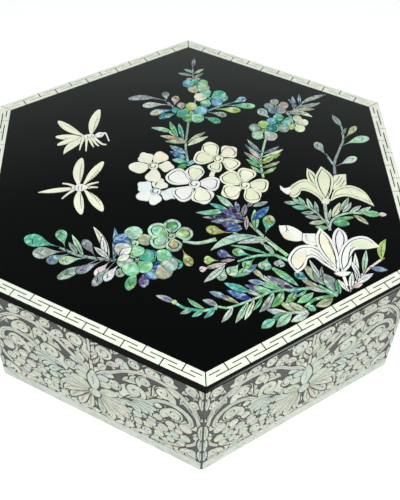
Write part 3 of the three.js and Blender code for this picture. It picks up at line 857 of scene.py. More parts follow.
class Panel(Stack):
    """A stack that lays every plate twice, once in each half."""

    def both(self, outline, strokes=(), gap=PANEL_GAP, width=PANEL_LINE):
        tint = self.dice.choice(SHELL_TONES)
        for mirror in (1, -1):
            self.plate("panel", mirrored(outline, mirror), tint, gap)
            for line in strokes:
                self.stroke(mirrored(line, mirror), width)

    def comma(self, u, v, length, width):
        heading = swirl(u, v)
        side = Vector((-heading.y, heading.x))
        tail, tip = Vector((u, v)) - heading * length / 2, Vector((u, v)) + heading * length / 2
        self.both(blade(*tail, *tip, width, width * 0.4, 0.62, ROUND_TIP, 8),
                  [[tail + heading * length * 0.2, Vector((u, v)) + side * width * 0.3]], width=COMMA_LINE)

    def volute(self, x, y, radius, start, hand, tail_x, tail_y):
        """A round head with a spiral cut into it and a tail that runs off one side."""
        curl = []
        for k in range(CURL_PARTS + 1):
            s = k / CURL_PARTS
            angle = math.radians(start) + hand * CURL_TURNS * 2 * math.pi * s
            r = radius * (1.04 - 0.8 * s)
            curl.append(Vector((x + r * math.cos(angle), y + r * math.sin(angle))))
        away = Vector((tail_x - x, tail_y - y))
        side = Vector((away.y, -away.x)).normalized() * hand * radius * 0.45
        tail = blade(x + side.x, y + side.y, tail_x, tail_y, radius * 1.1, -hand * radius * 0.25, 0.3,
                     ROUND_ENDS[::-1])
        head = disc(x, y, radius, 22)
        for mirror in (1, -1):
            self.bare(grown(turned_left(mirrored(head, mirror)), PANEL_GAP))
            self.plate("panel", mirrored(tail, mirror), SHELL_TONES[0], PANEL_GAP)
            self.again(mirrored(head, mirror))
            self.bare(band(mirrored(curl, mirror), radius * 0.2, radius * 0.12))
            end = mirrored(curl[-1:], mirror)[0]
            self.bare(disc(end.x, end.y, radius * 0.15, 8))

    def berry(self, x, y, radius):
        self.both(disc(x, y, radius, 14), [[Vector((x - radius * 0.5, y + radius * 0.35)),
                                            Vector((x, y + radius * 0.6)),
                                            Vector((x + radius * 0.5, y + radius * 0.3))]])

    def leaf(self, x0, y0, x1, y1, width, bow=0.0, belly=0.55, lines=2):
        strokes = rib_lines(x0, y0, x1, y1, width * 0.3, bow, lines, LEAF_PLACES)
        self.both(blade(x0, y0, x1, y1, width, bow, belly, ROUND_TIP), strokes)

    def leaf_at(self, x, y, angle, length, width, bow, *more):
        """A leaf by the angle it points at and its length."""
        way = math.radians(angle)
        self.leaf(x, y, x + length * math.cos(way), y + length * math.sin(way), width, bow, *more)


print("panel parts for", len(VOLUTES), "volutes and", len(BERRIES), "berries in each half")

# %% Commas and leaves of the ground
COMMA_STEP = 6.1
COMMA_LENGTH = 8.4
COMMA_WIDTH = 4.3
COMMA_STRAY = 0.8
OPEN_ABOVE = 38
OPEN_BEYOND = 50
OPEN_SHARE = 0.5


def comma_spots(dice):
    """Places for the comma leaves in staggered rows, some left out where the ground is more open."""
    rows = math.ceil(PANEL_HEIGHT / COMMA_STEP) + 1
    spots = [(k * COMMA_STEP + (row % 2) * COMMA_STEP / 2, row * COMMA_STEP)
             for row in range(rows) for k in range(math.ceil(PANEL_HALF / COMMA_STEP) + 1)]
    dice.shuffle(spots)
    for u, v in spots:
        if (v > OPEN_ABOVE or u > OPEN_BEYOND) and dice.random() < OPEN_SHARE:
            continue
        yield u + dice.uniform(-COMMA_STRAY, COMMA_STRAY), v + dice.uniform(-COMMA_STRAY, COMMA_STRAY)


def add_leaves(panel):
    for leaf in ((34.5, 44, 80, 11, 4, -1.5), (37.5, 45, 62, 8, 3, -1), (18, 46, 20, 9, 4.6, 1.5),
                 (5, 45, 60, 8, 4.4, 1), (2, 48.5, 70, 9, 4, 1), (22, 50, 25, 8, 4, 1), (9, 53, 30, 9, 4, 1),
                 (50, 49, 75, 8, 3.4, -1), (51, 59, 30, 9, 3.6, 1), (15, 66, 60, 7, 3.2, 1),
                 (33, 70, -10, 8, 3, 1), (44, 71, 0, 8, 2.6, 1)):
        panel.leaf_at(*leaf)
    for k in range(4):
        strand = [(51.6 + k * 2.2, 52 - k * 0.6), (57 + k, 45 - k), (60.6 + k * 0.3, 36 - k * 2)]
        panel.both(band(smooth(strand, 5), 1.2, 0.8), gap=0.45)


print("places for comma leaves in one half:", len(list(comma_spots(random.Random(0)))))

# %% The whole panel
OFFCUT = 30
VINE = [(0.8, 36.5), (6, 44), (12, 48.5), (20, 55.5), (30, 60), (40, 60.5), (50, 56.8), (58, 47), (61, 35),
        (61, 26), (58.5, 16.5), (52, 9), (42, 3.6), (33, 1.6)]
HOOP = [(22, 27), (31, 35.6), (38, 42.2), (46.4, 44.6), (54, 41.4), (56.6, 34.6), (53.6, 30.6)]


def add_middle(panel):
    """The fan of leaves and the flower on the middle line."""
    for x, y, width in ((35.6, 36.4, 4.0), (37, 32.4, 4.2), (35.4, 28.6, 4.2), (32, 25, 4.4),
                        (27.5, 22.6, 4.4)):
        panel.leaf(18.4, 28.6, x, y, width, 1.0, 0.66)
    for fan in ((-82, 17, 4.4, 0.6), (-63, 20, 5.0, 1.4), (-45, 21, 5.2, 2), (-27, 21, 5.4, 2.2),
                (-9, 20, 5.4, 2.2), (12, 18, 5.6, 2.2), (33, 15, 5.8, 2)):
        panel.leaf_at(1.5, 19.6, *fan, 0.64, 2)
    panel.both(band([Vector((0, 34)), Vector((0, 48)), Vector((0, 70))], 1.9, 1.2), gap=0.7)
    panel.leaf(0.4, 51.5, 4.2, 59, 3.6, 0.8, 0.6, 1)
    panel.leaf(0.6, 33, 9.4, 39.4, 5.2, 1.0, 0.62, 1)
    panel.leaf(0.6, 29.5, 10.6, 33.6, 5.2, 0.6, 0.62, 1)
    panel.both(blade(0, 22, 0, 42, 7, 0, 0.5), [[Vector((0.2, 28)), Vector((0.2, 36))]], width=0.4)
    panel.both(disc(0, 20, 3.4, 16), [[Vector((1.4, 18.4)), Vector((2.0, 20)), Vector((1.2, 21.8))]])


def trim(panel):
    """Bare strips along the four edges, so that nothing reaches past the wall."""
    wide, tall = PANEL_HALF + OFFCUT, PANEL_HEIGHT + OFFCUT
    for corners in ((-wide, -OFFCUT, wide, 0), (-wide, PANEL_HEIGHT, wide, tall),
                    (-wide, -OFFCUT, -PANEL_HALF, tall), (PANEL_HALF, -OFFCUT, wide, tall)):
        panel.bare(box_outline(*corners))


def scroll_panel():
    panel = Panel(seed=8)
    for u, v in comma_spots(panel.dice):
        panel.comma(u, v, COMMA_LENGTH, COMMA_WIDTH)
    add_leaves(panel)
    for volute in VOLUTES:
        panel.volute(*volute)
    panel.both(band(smooth(HOOP, CURVE_PARTS), 2.0, 3.0), [HOOP], gap=0.7)
    panel.both(band(smooth(VINE, CURVE_PARTS), 2.0, 1.6), [VINE], gap=0.6, width=COMMA_LINE)
    for berry in BERRIES:
        panel.berry(*berry)
    for v, length in ((1, 12), (11.5, 13), (23, 14), (52, 13), (62, 12)):
        panel.leaf(61.9, v, 62.1, v + length, 3.0, 0.2, 0.5, 1)
    add_middle(panel)
    trim(panel)
    return panel.cut()


def add_panels():
    points, owned = scroll_panel()
    for side in range(1, SIDES + 1):
        def on_wall(u, v, z, side=side):
            return on_side(side, u, -WALL_FACE - z, PANEL_BOTTOM + v)

        piece = raise_plates(f"scroll_panel_{side}", points, owned["panel"], on_wall, WALL_SHELL)
        piece.data.materials.append(grey_shell)
        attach(piece, "root")
        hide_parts(f"side_panel_{side}")
    print("scroll panel:", len(piece.data.polygons), "faces")


add_panels()

# %% [markdown]
# ## The picture on the lid
#
# The picture shows garden flowers and two insects. White shell is kept for the insects, the lilies and the
# large blossoms, and abalone for the leaves and buds. Each flower, spray and insect is a piece of its own,
# built plate by plate from the lowest to the highest. A leaf has an engraved rib, a bud a small eye, and a
# petal a line that follows its edge. Places are in picture steps from the middle of the lid, a little under
# a millimetre each.

# %% Colours of the picture
PICTURE_STEP = 0.9973
FIELD_APOTHEM = 106.233
INLAY_GAP = 0.3
PEARL = srgb(240, 240, 236)
COOL_PEARL = srgb(228, 236, 240)
IVORY = srgb(230, 232, 206)
WARM_PEARL = srgb(240, 240, 218)
OYSTER = srgb(236, 234, 220)
PALE_GREEN = srgb(230, 235, 204)
PEACH = srgb(240, 231, 212)
LILAC = srgb(236, 231, 238)
BLUSH = srgb(236, 206, 208)
MINT = srgb(132, 198, 156)
PALE_MINT = srgb(172, 208, 180)
TEAL = srgb(88, 178, 158)
SEA = srgb(46, 132, 144)
BLUE = srgb(70, 114, 174)
SKY = srgb(116, 172, 204)
VIOLET = srgb(94, 90, 152)
PLUM = srgb(62, 44, 88)
LEAF_GREEN = srgb(100, 168, 110)
OLIVE = srgb(172, 174, 98)
TAN = srgb(188, 168, 128)
MIST = srgb(152, 168, 164)
STEEL = srgb(120, 150, 176)
SILVER = srgb(196, 206, 200)
MAUVE = srgb(142, 140, 160)
ROSE_GREY = srgb(184, 160, 162)
CLAY = srgb(196, 140, 116)
SAND = srgb(180, 182, 152)
YELLOW_GREEN = srgb(176, 208, 128)
print("one picture step is", PICTURE_STEP, "mm")

# %% Leaves, buds and stems
ABALONE_SHADING = 0.36
WHITE_SHADING = 0.05
LEAF_GAP = 0.44
RIB_PLACES = (0.12, 0.4, 0.66, 0.86)
RIB_START, RIB_END = 0.46, 0.2
BUD_ENDS = (1.75, 0.5)
BUD_BELLY = 0.75
EYE_BROW, EYE_LASH, EYE_DOT = 0.42, 0.4, 0.5


class Picture(Stack):
    """A stack that knows which flower, spray or insect is being laid."""

    def begin(self, owner, shading=ABALONE_SHADING):
        self.owner, self.shading = owner, shading

    def tell(self):
        print(len(self.layers), "outlines laid, the last of them for", self.owner)

    def leaf(self, x0, y0, x1, y1, width, tint, bow=0.0, ribs=1):
        """A leaf from its base to its tip, bowed to the left, with engraved ribs side by side."""
        self.plate(self.owner, blade(x0, y0, x1, y1, width, bow), tint, LEAF_GAP)
        for line in rib_lines(x0, y0, x1, y1, width * 0.5, bow, ribs, RIB_PLACES):
            self.stroke(line, RIB_START, RIB_END)

    def leaves(self, *rows):
        for row in rows:
            self.leaf(*row)

    def bud(self, x0, y0, x1, y1, width, tint, bow=0.0, tip=None):
        """A bud with a small eye near its round end, and perhaps a tip in another colour."""
        outline = blade(x0, y0, x1, y1, width, bow, BUD_BELLY, BUD_ENDS)
        self.plate(self.owner, outline, tint, LEAF_GAP)
        base, way = Vector((x0, y0)), Vector((x1 - x0, y1 - y0))
        across = Vector((-way.y, way.x)).normalized()
        if tip:
            near = base + way * 0.5 + across * bow
            self.plate(self.owner, blade(near.x, near.y, x1, y1, width * 0.8, 0, 0.6, ROUND_TIP), tip, 0.12)
        middle = base + way * 0.74 + across * (4 * bow * 0.19)
        forward = way.normalized()
        self.stroke([middle - across * width * 0.3 - forward * 0.5, middle + forward * width * 0.12,
                     middle + across * width * 0.3 - forward * 0.5], EYE_BROW)
        self.stroke([middle + forward * width * 0.12, middle + forward * width * 0.36], EYE_LASH)
        self.bare(disc(*(middle + forward * width * 0.3), EYE_DOT, 7))

    def buds(self, *rows):
        for row in rows:
            self.bud(*row)

    def stem(self, points, start, end, tint, gap=0.3):
        self.plate(self.owner, band(smooth(points, CURVE_PARTS), start, end), tint, gap)

    def cornered(self, points, tint):
        """A plate with straight edges between its corners."""
        self.plate(self.owner, [Vector(p) for p in points], tint)


print("each leaf keeps", LEAF_GAP, "steps of bare lacquer round it")

# %% Petals and blossoms
PETAL_ENDS = (1.4, 0.45)
PETAL_REACH = 1.5
PETAL_BELLY = 0.64
PETAL_WAVES = (3, 4, 5)
RIM_WAVES = 4
HEART_CURL = 7.5
HEART_LINE = 0.7
CONTOUR = 0.6
NARROWEST, DEEPEST = 0.01, 0.44


class FlowerPicture(Picture):
    """The picture with its flowers: petals that are blades, and petals between two free edges."""

    def petal(self, x0, y0, x1, y1, width, tint, bow=0.0, belly=0.6, ends=PETAL_ENDS, line=0, gap=0.16,
              rim=None, wavy=0.0):
        """A petal with an engraved line that follows its edge, and a rim in a colour of its own."""
        base, way = Vector((x0, y0)), Vector((x1 - x0, y1 - y0))
        step = way.normalized()
        outline = blade(x0, y0, x1, y1, width, bow, belly, ends)
        outline = scalloped(outline, wavy, self.dice.choice(PETAL_WAVES))
        self.plate(self.owner, outline, rim if rim and line else tint, gap)
        if line:
            rings = []
            for inset in (line, line + CONTOUR):
                a, b = base + step * inset * 0.8, Vector((x1, y1)) - step * inset
                ring = blade(a.x, a.y, b.x, b.y, width - 2 * inset, bow, belly, ends)
                rings.append(scalloped(ring, wavy, RIM_WAVES))
            self.bare(rings[0])
            self.again(rings[1], tint)

    def form(self, left, right, tint, line=1.2, gap=0.2, rim=None):
        """A plate between two smooth edges that share their ends, with a line that follows them."""
        left, right = smooth(left, CURVE_PARTS), smooth(right, CURVE_PARTS)
        self.plate(self.owner, left + right[-2:0:-1], rim if rim and line else tint, gap)
        if line:
            rings = []
            for inset, cut in ((line, 2), (line + CONTOUR, 3)):
                pairs = list(zip(left, right))[cut:-cut]
                shares = [min(inset / max((b - a).length, NARROWEST), DEEPEST) for a, b in pairs]
                rings.append([a.lerp(b, t) for (a, b), t in zip(pairs, shares)]
                             + [b.lerp(a, t) for (a, b), t in zip(pairs, shares)][::-1])
            self.bare(rings[0])
            self.again(rings[1], tint)

    def blossom(self, x, y, petals, heart=1.7, line=0, wide=1.16, edge=0.46, rim=None, wavy=0.0):
        """Petals round a heart, each given by the middle of the petal and its colour."""
        shapes = []
        for px, py, tint in petals:
            out = Vector((px - x, py - y))
            tip = Vector((x, y)) + out * PETAL_REACH
            shapes.append((x, y, tip.x, tip.y, out.length * wide, tint))
        for x0, y0, x1, y1, width, _ in shapes:
            self.bare(grown(blade(x0, y0, x1, y1, width, 0, PETAL_BELLY, PETAL_ENDS), edge))
        for x0, y0, x1, y1, width, tint in shapes:
            self.petal(x0, y0, x1, y1, width, tint, 0, PETAL_BELLY, line=line, rim=rim, wavy=wavy)
        if heart:
            self.plate(self.owner, disc(x, y, heart, 14), rim or petals[0][2], 0.4)
            self.stroke([Vector((x + heart * (1 - 0.75 * s) * math.cos(HEART_CURL * s),
                                 y + heart * (1 - 0.75 * s) * math.sin(HEART_CURL * s)))
                         for s in (k / 10 for k in range(1, 10))], HEART_LINE)


picture = FlowerPicture(seed=21)
print("the picture starts with", len(picture.layers), "outlines")

# %% [markdown]
# ### Fronds and sprays at the front
#
# Long leafy fronds sweep in from the front right edge, with blue and violet abalone on their upper side and
# paler, greener shell below. Two sprays of buds rise over them.

# %% Front fronds
picture.begin("lid_front_fronds")
picture.leaves((63.5, -82.6, 54.6, -86.8, 4.2, SAND, 0.6), (50.6, -86.6, 54.2, -89.6, 3.4, MINT),
               (46, -90.4, 37.2, -84, 3.2, SAND), (50.4, -90, 41.2, -83.8, 3, SAND, 0.4),
               (41.4, -90.8, 30.6, -88.4, 3.4, SILVER, 0.5), (40, -91, 32.4, -94.8, 3.2, LEAF_GREEN),
               (34.4, -94.2, 27.2, -99.2, 4.4, MINT), (42.6, -90.8, 34.4, -98.8, 4.6, PALE_MINT),
               (51, -90.8, 41.6, -95.8, 3.8, SILVER, 0.2))
picture.stem([(64, -81), (55, -82.8), (49.4, -87.6)], 1.5, 1.4, LEAF_GREEN, 0.16)
picture.stem([(50.4, -90.4), (45, -90.6), (40, -90.8)], 1.4, 1.1, SILVER, 0.16)
picture.leaves((-4.5, -87.7, -10.4, -89.8, 2.2, MIST), (0.9, -88.3, -5, -91.8, 2.4, MINT),
               (6.3, -87.2, 0.7, -92.6, 2.4, TEAL, 0.3), (14.8, -86.4, 8.8, -95.4, 2.7, SILVER, 0.5),
               (22.4, -83.6, 15.3, -96, 3.1, PALE_MINT, 0.3), (25.4, -82.4, 19.8, -94.3, 2.7, IVORY, 0.2),
               (29.4, -80.6, 24.2, -88.8, 1.9, MINT, 0.5), (35, -78, 27.2, -89.8, 4, MIST, 1.2),
               (39.8, -77, 33.2, -87.2, 4, LEAF_GREEN, 1), (46, -77.4, 40.2, -84.6, 3.8, LEAF_GREEN, 0.8),
               (54.5, -78.8, 45.8, -84.6, 3.8, MINT, 0.6), (51.5, -76.6, 45.4, -81, 1.5, MINT, 0.8),
               (0.9, -87, -6.8, -80.8, 2.2, MINT, 0.7), (7.5, -85.8, 0.4, -82, 3.2, MAUVE, -0.5),
               (18, -84.6, 4, -77, 2.6, TAN, -0.3), (12.4, -81, 4, -77, 3.2, STEEL),
               (24.6, -82.6, 12.5, -76.4, 4, BLUE, 0.2), (30, -80.6, 17.4, -74, 2, SILVER, 0.2),
               (24, -77.6, 11.5, -71.8, 3.8, TEAL, 0.2), (35, -78.4, 21.6, -73.2, 4, VIOLET, 0.4),
               (35, -78.4, 25.4, -74.4, 3.4, MINT, 0.2), (40, -76.4, 28, -71.4, 3.2, MINT, 0.2),
               (31.6, -72.8, 23.4, -70.6, 3.2, STEEL), (37.6, -74, 26, -64.2, 2.4, SILVER, 0.3),
               (46.2, -76.4, 33, -67.8, 3.6, MAUVE, 0.3), (50, -76.4, 41.5, -77.6, 3, BLUE),
               (44, -76.4, 38.6, -74.4, 2.6, PLUM))
picture.stem([(65.5, -81), (59.5, -77.9), (52, -76.2), (45, -76.9), (40.4, -76.8), (33.2, -78.2),
              (27.8, -80.8), (19.6, -84.4), (15.6, -86), (12, -87), (9.6, -86.6), (7.5, -86.2),
              (5.9, -86.9), (3.2, -87.9)], 1.2, 0.9, MINT, 0.14)
picture.stem([(7, -87), (3.2, -87.9), (0.1, -88.3), (-6, -87.3), (-9.1, -86.2), (-13, -83.2)], 1.4, 1.2,
             TEAL, 0.14)
picture.leaf(-12.6, -83.6, -22, -78.8, 3, MAUVE, -0.5)
picture.plate(picture.owner, disc(-13.2, -82.9, 1.3, 10), YELLOW_GREEN, 0.2)
picture.leaf(58.2, -75.8, 49.5, -70, 3, SAND, 0.3)
picture.bud(55, -72.4, 46.8, -66, 4.8, SEA)
picture.leaves((61.4, -74.4, 51.8, -61, 5.2, SAND, 0.4, 2), (62, -74.6, 56, -66, 4.2, MIST, 0.2, 2),
               (60, -71, 55.2, -58, 2.2, SILVER, 0.3), (60.2, -70, 60.8, -62.6, 1.8, MIST, 0.3),
               (66.6, -80, 61, -67, 6.4, MIST, -0.4, 4), (67.6, -80, 66.6, -71.4, 2.6, LEAF_GREEN),
               (61.5, -78.6, 51.2, -75, 2, SILVER, 0.2))
picture.stem([(66, -81), (61.6, -77.6), (57.6, -74.4)], 1.5, 1, MINT, 0.14)
picture.tell()

# %% Lower spray
picture.begin("lid_lower_spray")
picture.leaves((34, -53.4, 16.2, -47.4, 1.8, MINT, -0.8), (47.6, -74.4, 34.7, -61.8, 3.6, MINT, -0.3),
               (31, -68.8, 25.6, -62.8, 2.8, SAND), (28.4, -60.6, 15.8, -67.8, 4.4, MINT, 0.5),
               (28.6, -60.4, 20.6, -65.4, 3.6, STEEL, 0.4))
picture.buds((41.2, -55.4, 39.4, -62, 5.8, MIST), (34.6, -54.8, 31.6, -63.8, 7, MINT, 0, PALE_MINT),
             (28, -55.6, 21.4, -61.6, 5, MINT, 0.6), (20.6, -58.4, 13.8, -66.2, 6.2, PALE_MINT, 0.4),
             (13, -60.4, 9.6, -70, 5.2, PALE_MINT))
picture.leaves((12.6, -60.4, 1.6, -71, 3.6, SILVER, 0.4), (13.4, -59.2, 2, -62.4, 2.6, ROSE_GREY))
picture.bud(5.4, -61.6, -0.2, -63.2, 3.4, BLUSH)
picture.leaf(17.6, -57, 10.6, -57.8, 1.8, ROSE_GREY)
picture.buds((9.8, -57.4, 2.2, -56.8, 5.2, YELLOW_GREEN), (18.6, -55.8, 9.3, -51.6, 5, VIOLET, 0.2),
             (27, -54.8, 16.8, -51.4, 5, MINT, -0.3))
picture.stem([(44.6, -58), (40.2, -55.6), (37.6, -54.2), (33.4, -54.4), (29.6, -54.6), (26.2, -55.4),
              (23.2, -56.4), (19, -58.2)], 1.6, 0.9, MINT, 0.14)
picture.tell()

# %% Middle spray
picture.begin("lid_middle_spray")
picture.leaves((30, -20, 38, -17, 2.6, MIST), (27, -20, 30, -17, 2.6, MAUVE))
picture.stem([(44.5, -55), (36, -45), (28, -34), (19, -21)], 1.8, 1.2, PALE_MINT)
picture.stem([(40, -51), (33, -43), (24, -41.5), (17, -38)], 1.4, 0.9, PALE_MINT)
picture.stem([(37, -54), (33, -47), (29, -43)], 1.2, 0.9, SILVER)
picture.leaves((17, -22, -0.5, -24, 3.4, MINT, 1), (20, -22, 11, -11.5, 3.6, PALE_MINT),
               (17, -23, 7, -17.5, 2.8, TEAL), (24, -28, 3, -27.5, 3.4, PLUM),
               (24, -29, 12, -22, 3.6, VIOLET), (24, -31, 7, -30.5, 3.8, MAUVE),
               (24, -26, 16, -20, 3.2, PLUM), (23, -35, 12, -31.5, 5, VIOLET, 0.6),
               (23, -36, 14.5, -36.5, 3.6, BLUE))
picture.bud(18, -38.5, 4.5, -35, 5.6, OLIVE, 1)
picture.leaves((33, -43, 17, -40, 2.8, PALE_MINT, 0.6), (30, -41.5, 6, -50.5, 4.8, PALE_MINT, -3),
               (36, -45, 20, -46, 3, SILVER, -1))
picture.bud(34, -42, 38.5, -27, 6.6, TEAL, 0, OLIVE)
picture.leaves((30, -37, 30.5, -22.5, 4, MINT), (29, -30, 38.5, -20.5, 4.4, BLUE),
               (24, -27.5, 26, -18.5, 3, MAUVE), (22, -24, 21, -16.5, 2.8, VIOLET),
               (25, -37, 26, -27, 2.4, ROSE_GREY), (33, -47, 38, -53, 2.6, PALE_MINT))
picture.tell()

# %% [markdown]
# ### The cluster at the left
#
# Round buds on a twig lead to a crowd of green blossoms, whose petals keep a dark line round each of them.

# %% Left cluster
picture.begin("lid_left_cluster")
picture.stem([(-70, -47), (-60, -52.5), (-46, -55.5), (-34, -57)], 1.2, 1.8, MIST)
picture.buds((-69, -47, -88.5, -40, 8.2, TEAL), (-67, -48.5, -71, -35, 6, MINT),
             (-66, -49.5, -83.5, -50.5, 7.6, MIST), (-64, -50.5, -76, -56.5, 5.6, STEEL),
             (-56, -54, -70, -56, 5.4, PALE_MINT))
picture.leaves((-58, -53, -64.5, -38.5, 2.8, PALE_MINT), (-61, -51.5, -66, -43.5, 2.6, MIST))
picture.bud(-51, -55, -58.5, -42, 4.8, MAUVE)
picture.leaves((-45, -55, -54, -33, 3.6, PALE_GREEN, -1), (-43, -56, -43, -34, 3.4, STEEL, -1),
               (-47, -54, -49, -40, 3, LILAC), (-45, -55, -53, -47, 3, SILVER))
picture.buds((-50, -55, -70, -67, 5.4, MIST), (-47, -55.5, -61, -63.5, 4.8, MAUVE),
             (-44, -55.5, -51.5, -66, 4.8, BLUSH), (-42, -56.5, -52.5, -72, 4.8, MIST),
             (-39, -57, -47, -69, 4.6, LILAC), (-36, -57, -40.5, -66.5, 5, MIST),
             (-30, -58, -35.5, -75, 5.4, LEAF_GREEN), (-27, -60, -28, -73.5, 5.2, VIOLET),
             (-14, -52, -10, -62, 5.4, TEAL), (-9, -48, -4.5, -60.5, 5, OLIVE))
picture.blossom(-21.4, -58.4, [(-23.6, -65, BLUE), (-17.6, -64.6, SAND), (-14.4, -59.6, MIST),
                               (-17.6, -53, MINT), (-25.6, -53.2, TEAL)], heart=1.5, wide=1.3)
picture.blossom(-31.5, -56, [(-38, -57, MIST), (-34, -50, MINT), (-25.8, -53, TEAL), (-27, -60.8, MINT),
                             (-34.4, -62.4, MINT)], heart=1.3, wide=1.3)
picture.blossom(-32.8, -44.8, [(-33.2, -37.2, PALE_MINT), (-39.6, -42.6, BLUE), (-38.8, -49.2, SILVER),
                               (-31, -50.6, MINT), (-27, -42.6, SAND)], heart=2.4, wide=1.24)
picture.blossom(-13.8, -40.2, [(-13.2, -32.6, LEAF_GREEN), (-21.4, -36, MINT), (-20.6, -44.4, PALE_MINT),
                               (-12.6, -47.2, TAN), (-6.4, -38.8, YELLOW_GREEN)], heart=2.2, wide=1.2,
                line=1.4, rim=PALE_MINT)
picture.leaves((-40, -53, -34, -48, 4.2, PEARL), (-41, -56, -35, -53, 4, PEARL))
picture.stem([(-8, -44), (0, -45.5), (9, -43)], 1.2, 2.2, PALE_MINT)
picture.tell()

# %% [markdown]
# ### The sprays at the back and the right
#
# Both rise from the white blossoms: feathery leaves below, then small blossoms and buds whose colours
# change from one petal to the next.

# %% Back spray
picture.begin("lid_back_spray")
picture.stem([(-3.5, 13.5), (-4.5, 27), (-3, 42), (-1.5, 54), (3, 72), (2, 92), (2, 104)], 1.3, 0.8, MIST)
picture.leaves((2, 101, 3.5, 111, 2.4, MAUVE), (2, 96, -3.6, 99.6, 2, MIST), (2, 93, -7.2, 95.4, 2.4, MIST),
               (2.2, 94.6, 9, 99.6, 2, SAND), (2.4, 90.6, 8.4, 95.2, 2, MIST),
               (2.4, 89, -2.4, 89.6, 2.2, ROSE_GREY), (2.4, 88.6, 6.6, 89.8, 2.2, ROSE_GREY))
picture.stem([(3, 54), (13, 61), (24, 66)], 1.3, 0.9, SKY)
picture.buds((23, 65.5, 33, 70.5, 4.8, SKY), (19, 64, 38, 63, 4.8, MINT), (17, 63, 21, 73, 4.4, TEAL),
             (13, 61, 29, 59, 5, YELLOW_GREEN), (9, 58, 20.5, 54.5, 4.4, MIST),
             (4, 55, 16.5, 48.5, 4.6, TEAL))
picture.stem([(-7, 57), (-11, 63), (-16, 69.5)], 1.2, 0.9, MAUVE)
picture.buds((-13, 67, -37.5, 70.5, 4.4, MAUVE, -3), (-14.5, 67.5, -15.5, 77, 4.6, MIST),
             (-10.5, 62, -9, 73, 4.8, ROSE_GREY), (-12, 64.5, -29, 64, 4.8, SILVER, -1),
             (-8, 60, -24.5, 56.5, 5, SKY, -1, IVORY), (-6, 58, -19.5, 53, 4.6, SEA))
picture.leaves((-4, 31.4, -14.4, 40.8, 1.4, SILVER, 0.2), (-11.6, 40, -23.8, 44.2, 3.2, PALE_MINT, -0.6),
               (-4, 32.4, -18.8, 37, 3.2, SAND, -0.4), (-9, 34.6, -15, 36.2, 2.2, CLAY),
               (-4, 31, -16, 32.2, 2.6, SAND, -0.3), (-8.6, 36, -13.2, 49.8, 3, MINT, 0.3),
               (-5.4, 34, -7.8, 48, 2.8, TEAL, 0.3), (-3.2, 31, 7.2, 39.8, 2.6, SAND, 0.4),
               (-3.4, 28.6, 8.6, 36, 3, PALE_GREEN, 0.4), (-4.5, 22, -13.5, 28.5, 3.8, STEEL),
               (-4.5, 18, -13.5, 23.5, 3.8, BLUE), (-4, 15, -12.5, 17, 3.6, TEAL),
               (-4, 13, -10, 9.5, 3.4, LEAF_GREEN), (-4, 12, 1, 17, 2.4, SKY))
picture.blossom(3.4, 84, [(-2, 85, SKY), (8.2, 85.6, MINT), (1.6, 79, SAND), (8.2, 80, PALE_MINT),
                          (3, 87.4, TEAL)], heart=1.1, wide=1.3)
picture.blossom(11, 70.5, [(9, 76, MINT), (17.5, 74, TEAL), (5, 72, IVORY), (8.5, 65.5, MINT),
                           (15.5, 66.5, SKY)], heart=1.2)
picture.blossom(-6, 60, [(-6, 64.5, ROSE_GREY), (-10, 60, TEAL), (-6.5, 55.5, TEAL), (-2, 60, MINT)],
                heart=0)
picture.blossom(-0.5, 57.5, [(0, 63.5, YELLOW_GREEN), (-6, 57, TEAL), (-2.5, 52, LEAF_GREEN),
                             (3.5, 52, MINT), (6, 59.5, SKY)], heart=1.6)
picture.tell()

# %% Right spray
picture.begin("lid_right_spray")
picture.stem([(37.4, 1.6), (36.9, 10.8), (37.3, 17), (38.7, 22), (40.2, 28), (42.2, 35)], 1.3, 1.2,
             PALE_MINT)
picture.leaves((38.2, 21.8, 31, 33, 2.3, MIST, 0.4), (37.4, 19.4, 29.3, 28.8, 2.2, TEAL, 0.4),
               (37.1, 17, 31, 26.4, 2.3, BLUSH, 0.3), (37, 14.4, 28.4, 22.4, 2.5, ROSE_GREY, 0.3),
               (36.8, 12.4, 30.6, 19, 2, MINT, 0.2), (36.8, 9.6, 29.2, 16.6, 2.1, MINT, 0.3),
               (37.1, 5.2, 31.2, 11, 2.1, PALE_MINT, 0.3), (39.2, 21.4, 48.8, 27, 2.1, MAUVE, -0.5),
               (38.4, 18.4, 50.6, 24.4, 2.3, PALE_GREEN, -0.6),
               (38, 15.4, 48.8, 20.6, 3.3, YELLOW_GREEN, -0.3), (37.4, 13, 45, 17.4, 1.8, OLIVE, -0.2),
               (37.4, 9.6, 47.8, 14.4, 2.1, SAND, -0.5), (37.3, 4.8, 45.4, 9.8, 2.1, MINT, -0.4))
picture.stem([(41, 34), (47, 50), (52, 57), (60, 58), (68, 67)], 1.6, 1, MIST)
picture.leaves((61, 59, 61.5, 72, 2.6, MIST), (63, 62, 58.5, 69, 2.2, STEEL),
               (65, 64, 65.5, 73.5, 2, STEEL), (66, 65, 82, 73, 3, MIST, 1),
               (63, 62, 77.5, 65.5, 3, MIST, -1), (60, 59, 73.5, 59.5, 2.4, SAND),
               (58, 57, 71, 52.5, 3, PALE_GREEN, 1.5), (57, 56, 69, 56, 2.2, MIST))
picture.bud(47, 50, 40, 60, 6, MIST)
picture.stem([(56, 57), (58.5, 52)], 1.6, 1.2, MIST)
picture.blossom(50.5, 62.5, [(50, 67, MIST), (45.8, 63, MIST), (48, 58.5, STEEL), (53.5, 58.5, MIST),
                             (55.5, 63.5, ROSE_GREY)], heart=1.1)
picture.blossom(60.5, 47, [(62, 51.5, IVORY), (56.5, 49.5, TEAL), (57, 44, YELLOW_GREEN),
                           (62.5, 42, PALE_GREEN), (65.5, 47.5, PALE_GREEN)], heart=1.2)
picture.blossom(50.5, 47, [(51, 52.5, TEAL), (46, 49, SKY), (47, 42.5, TEAL), (53, 42, MIST),
                           (55.5, 47.5, TEAL)], heart=1.2)
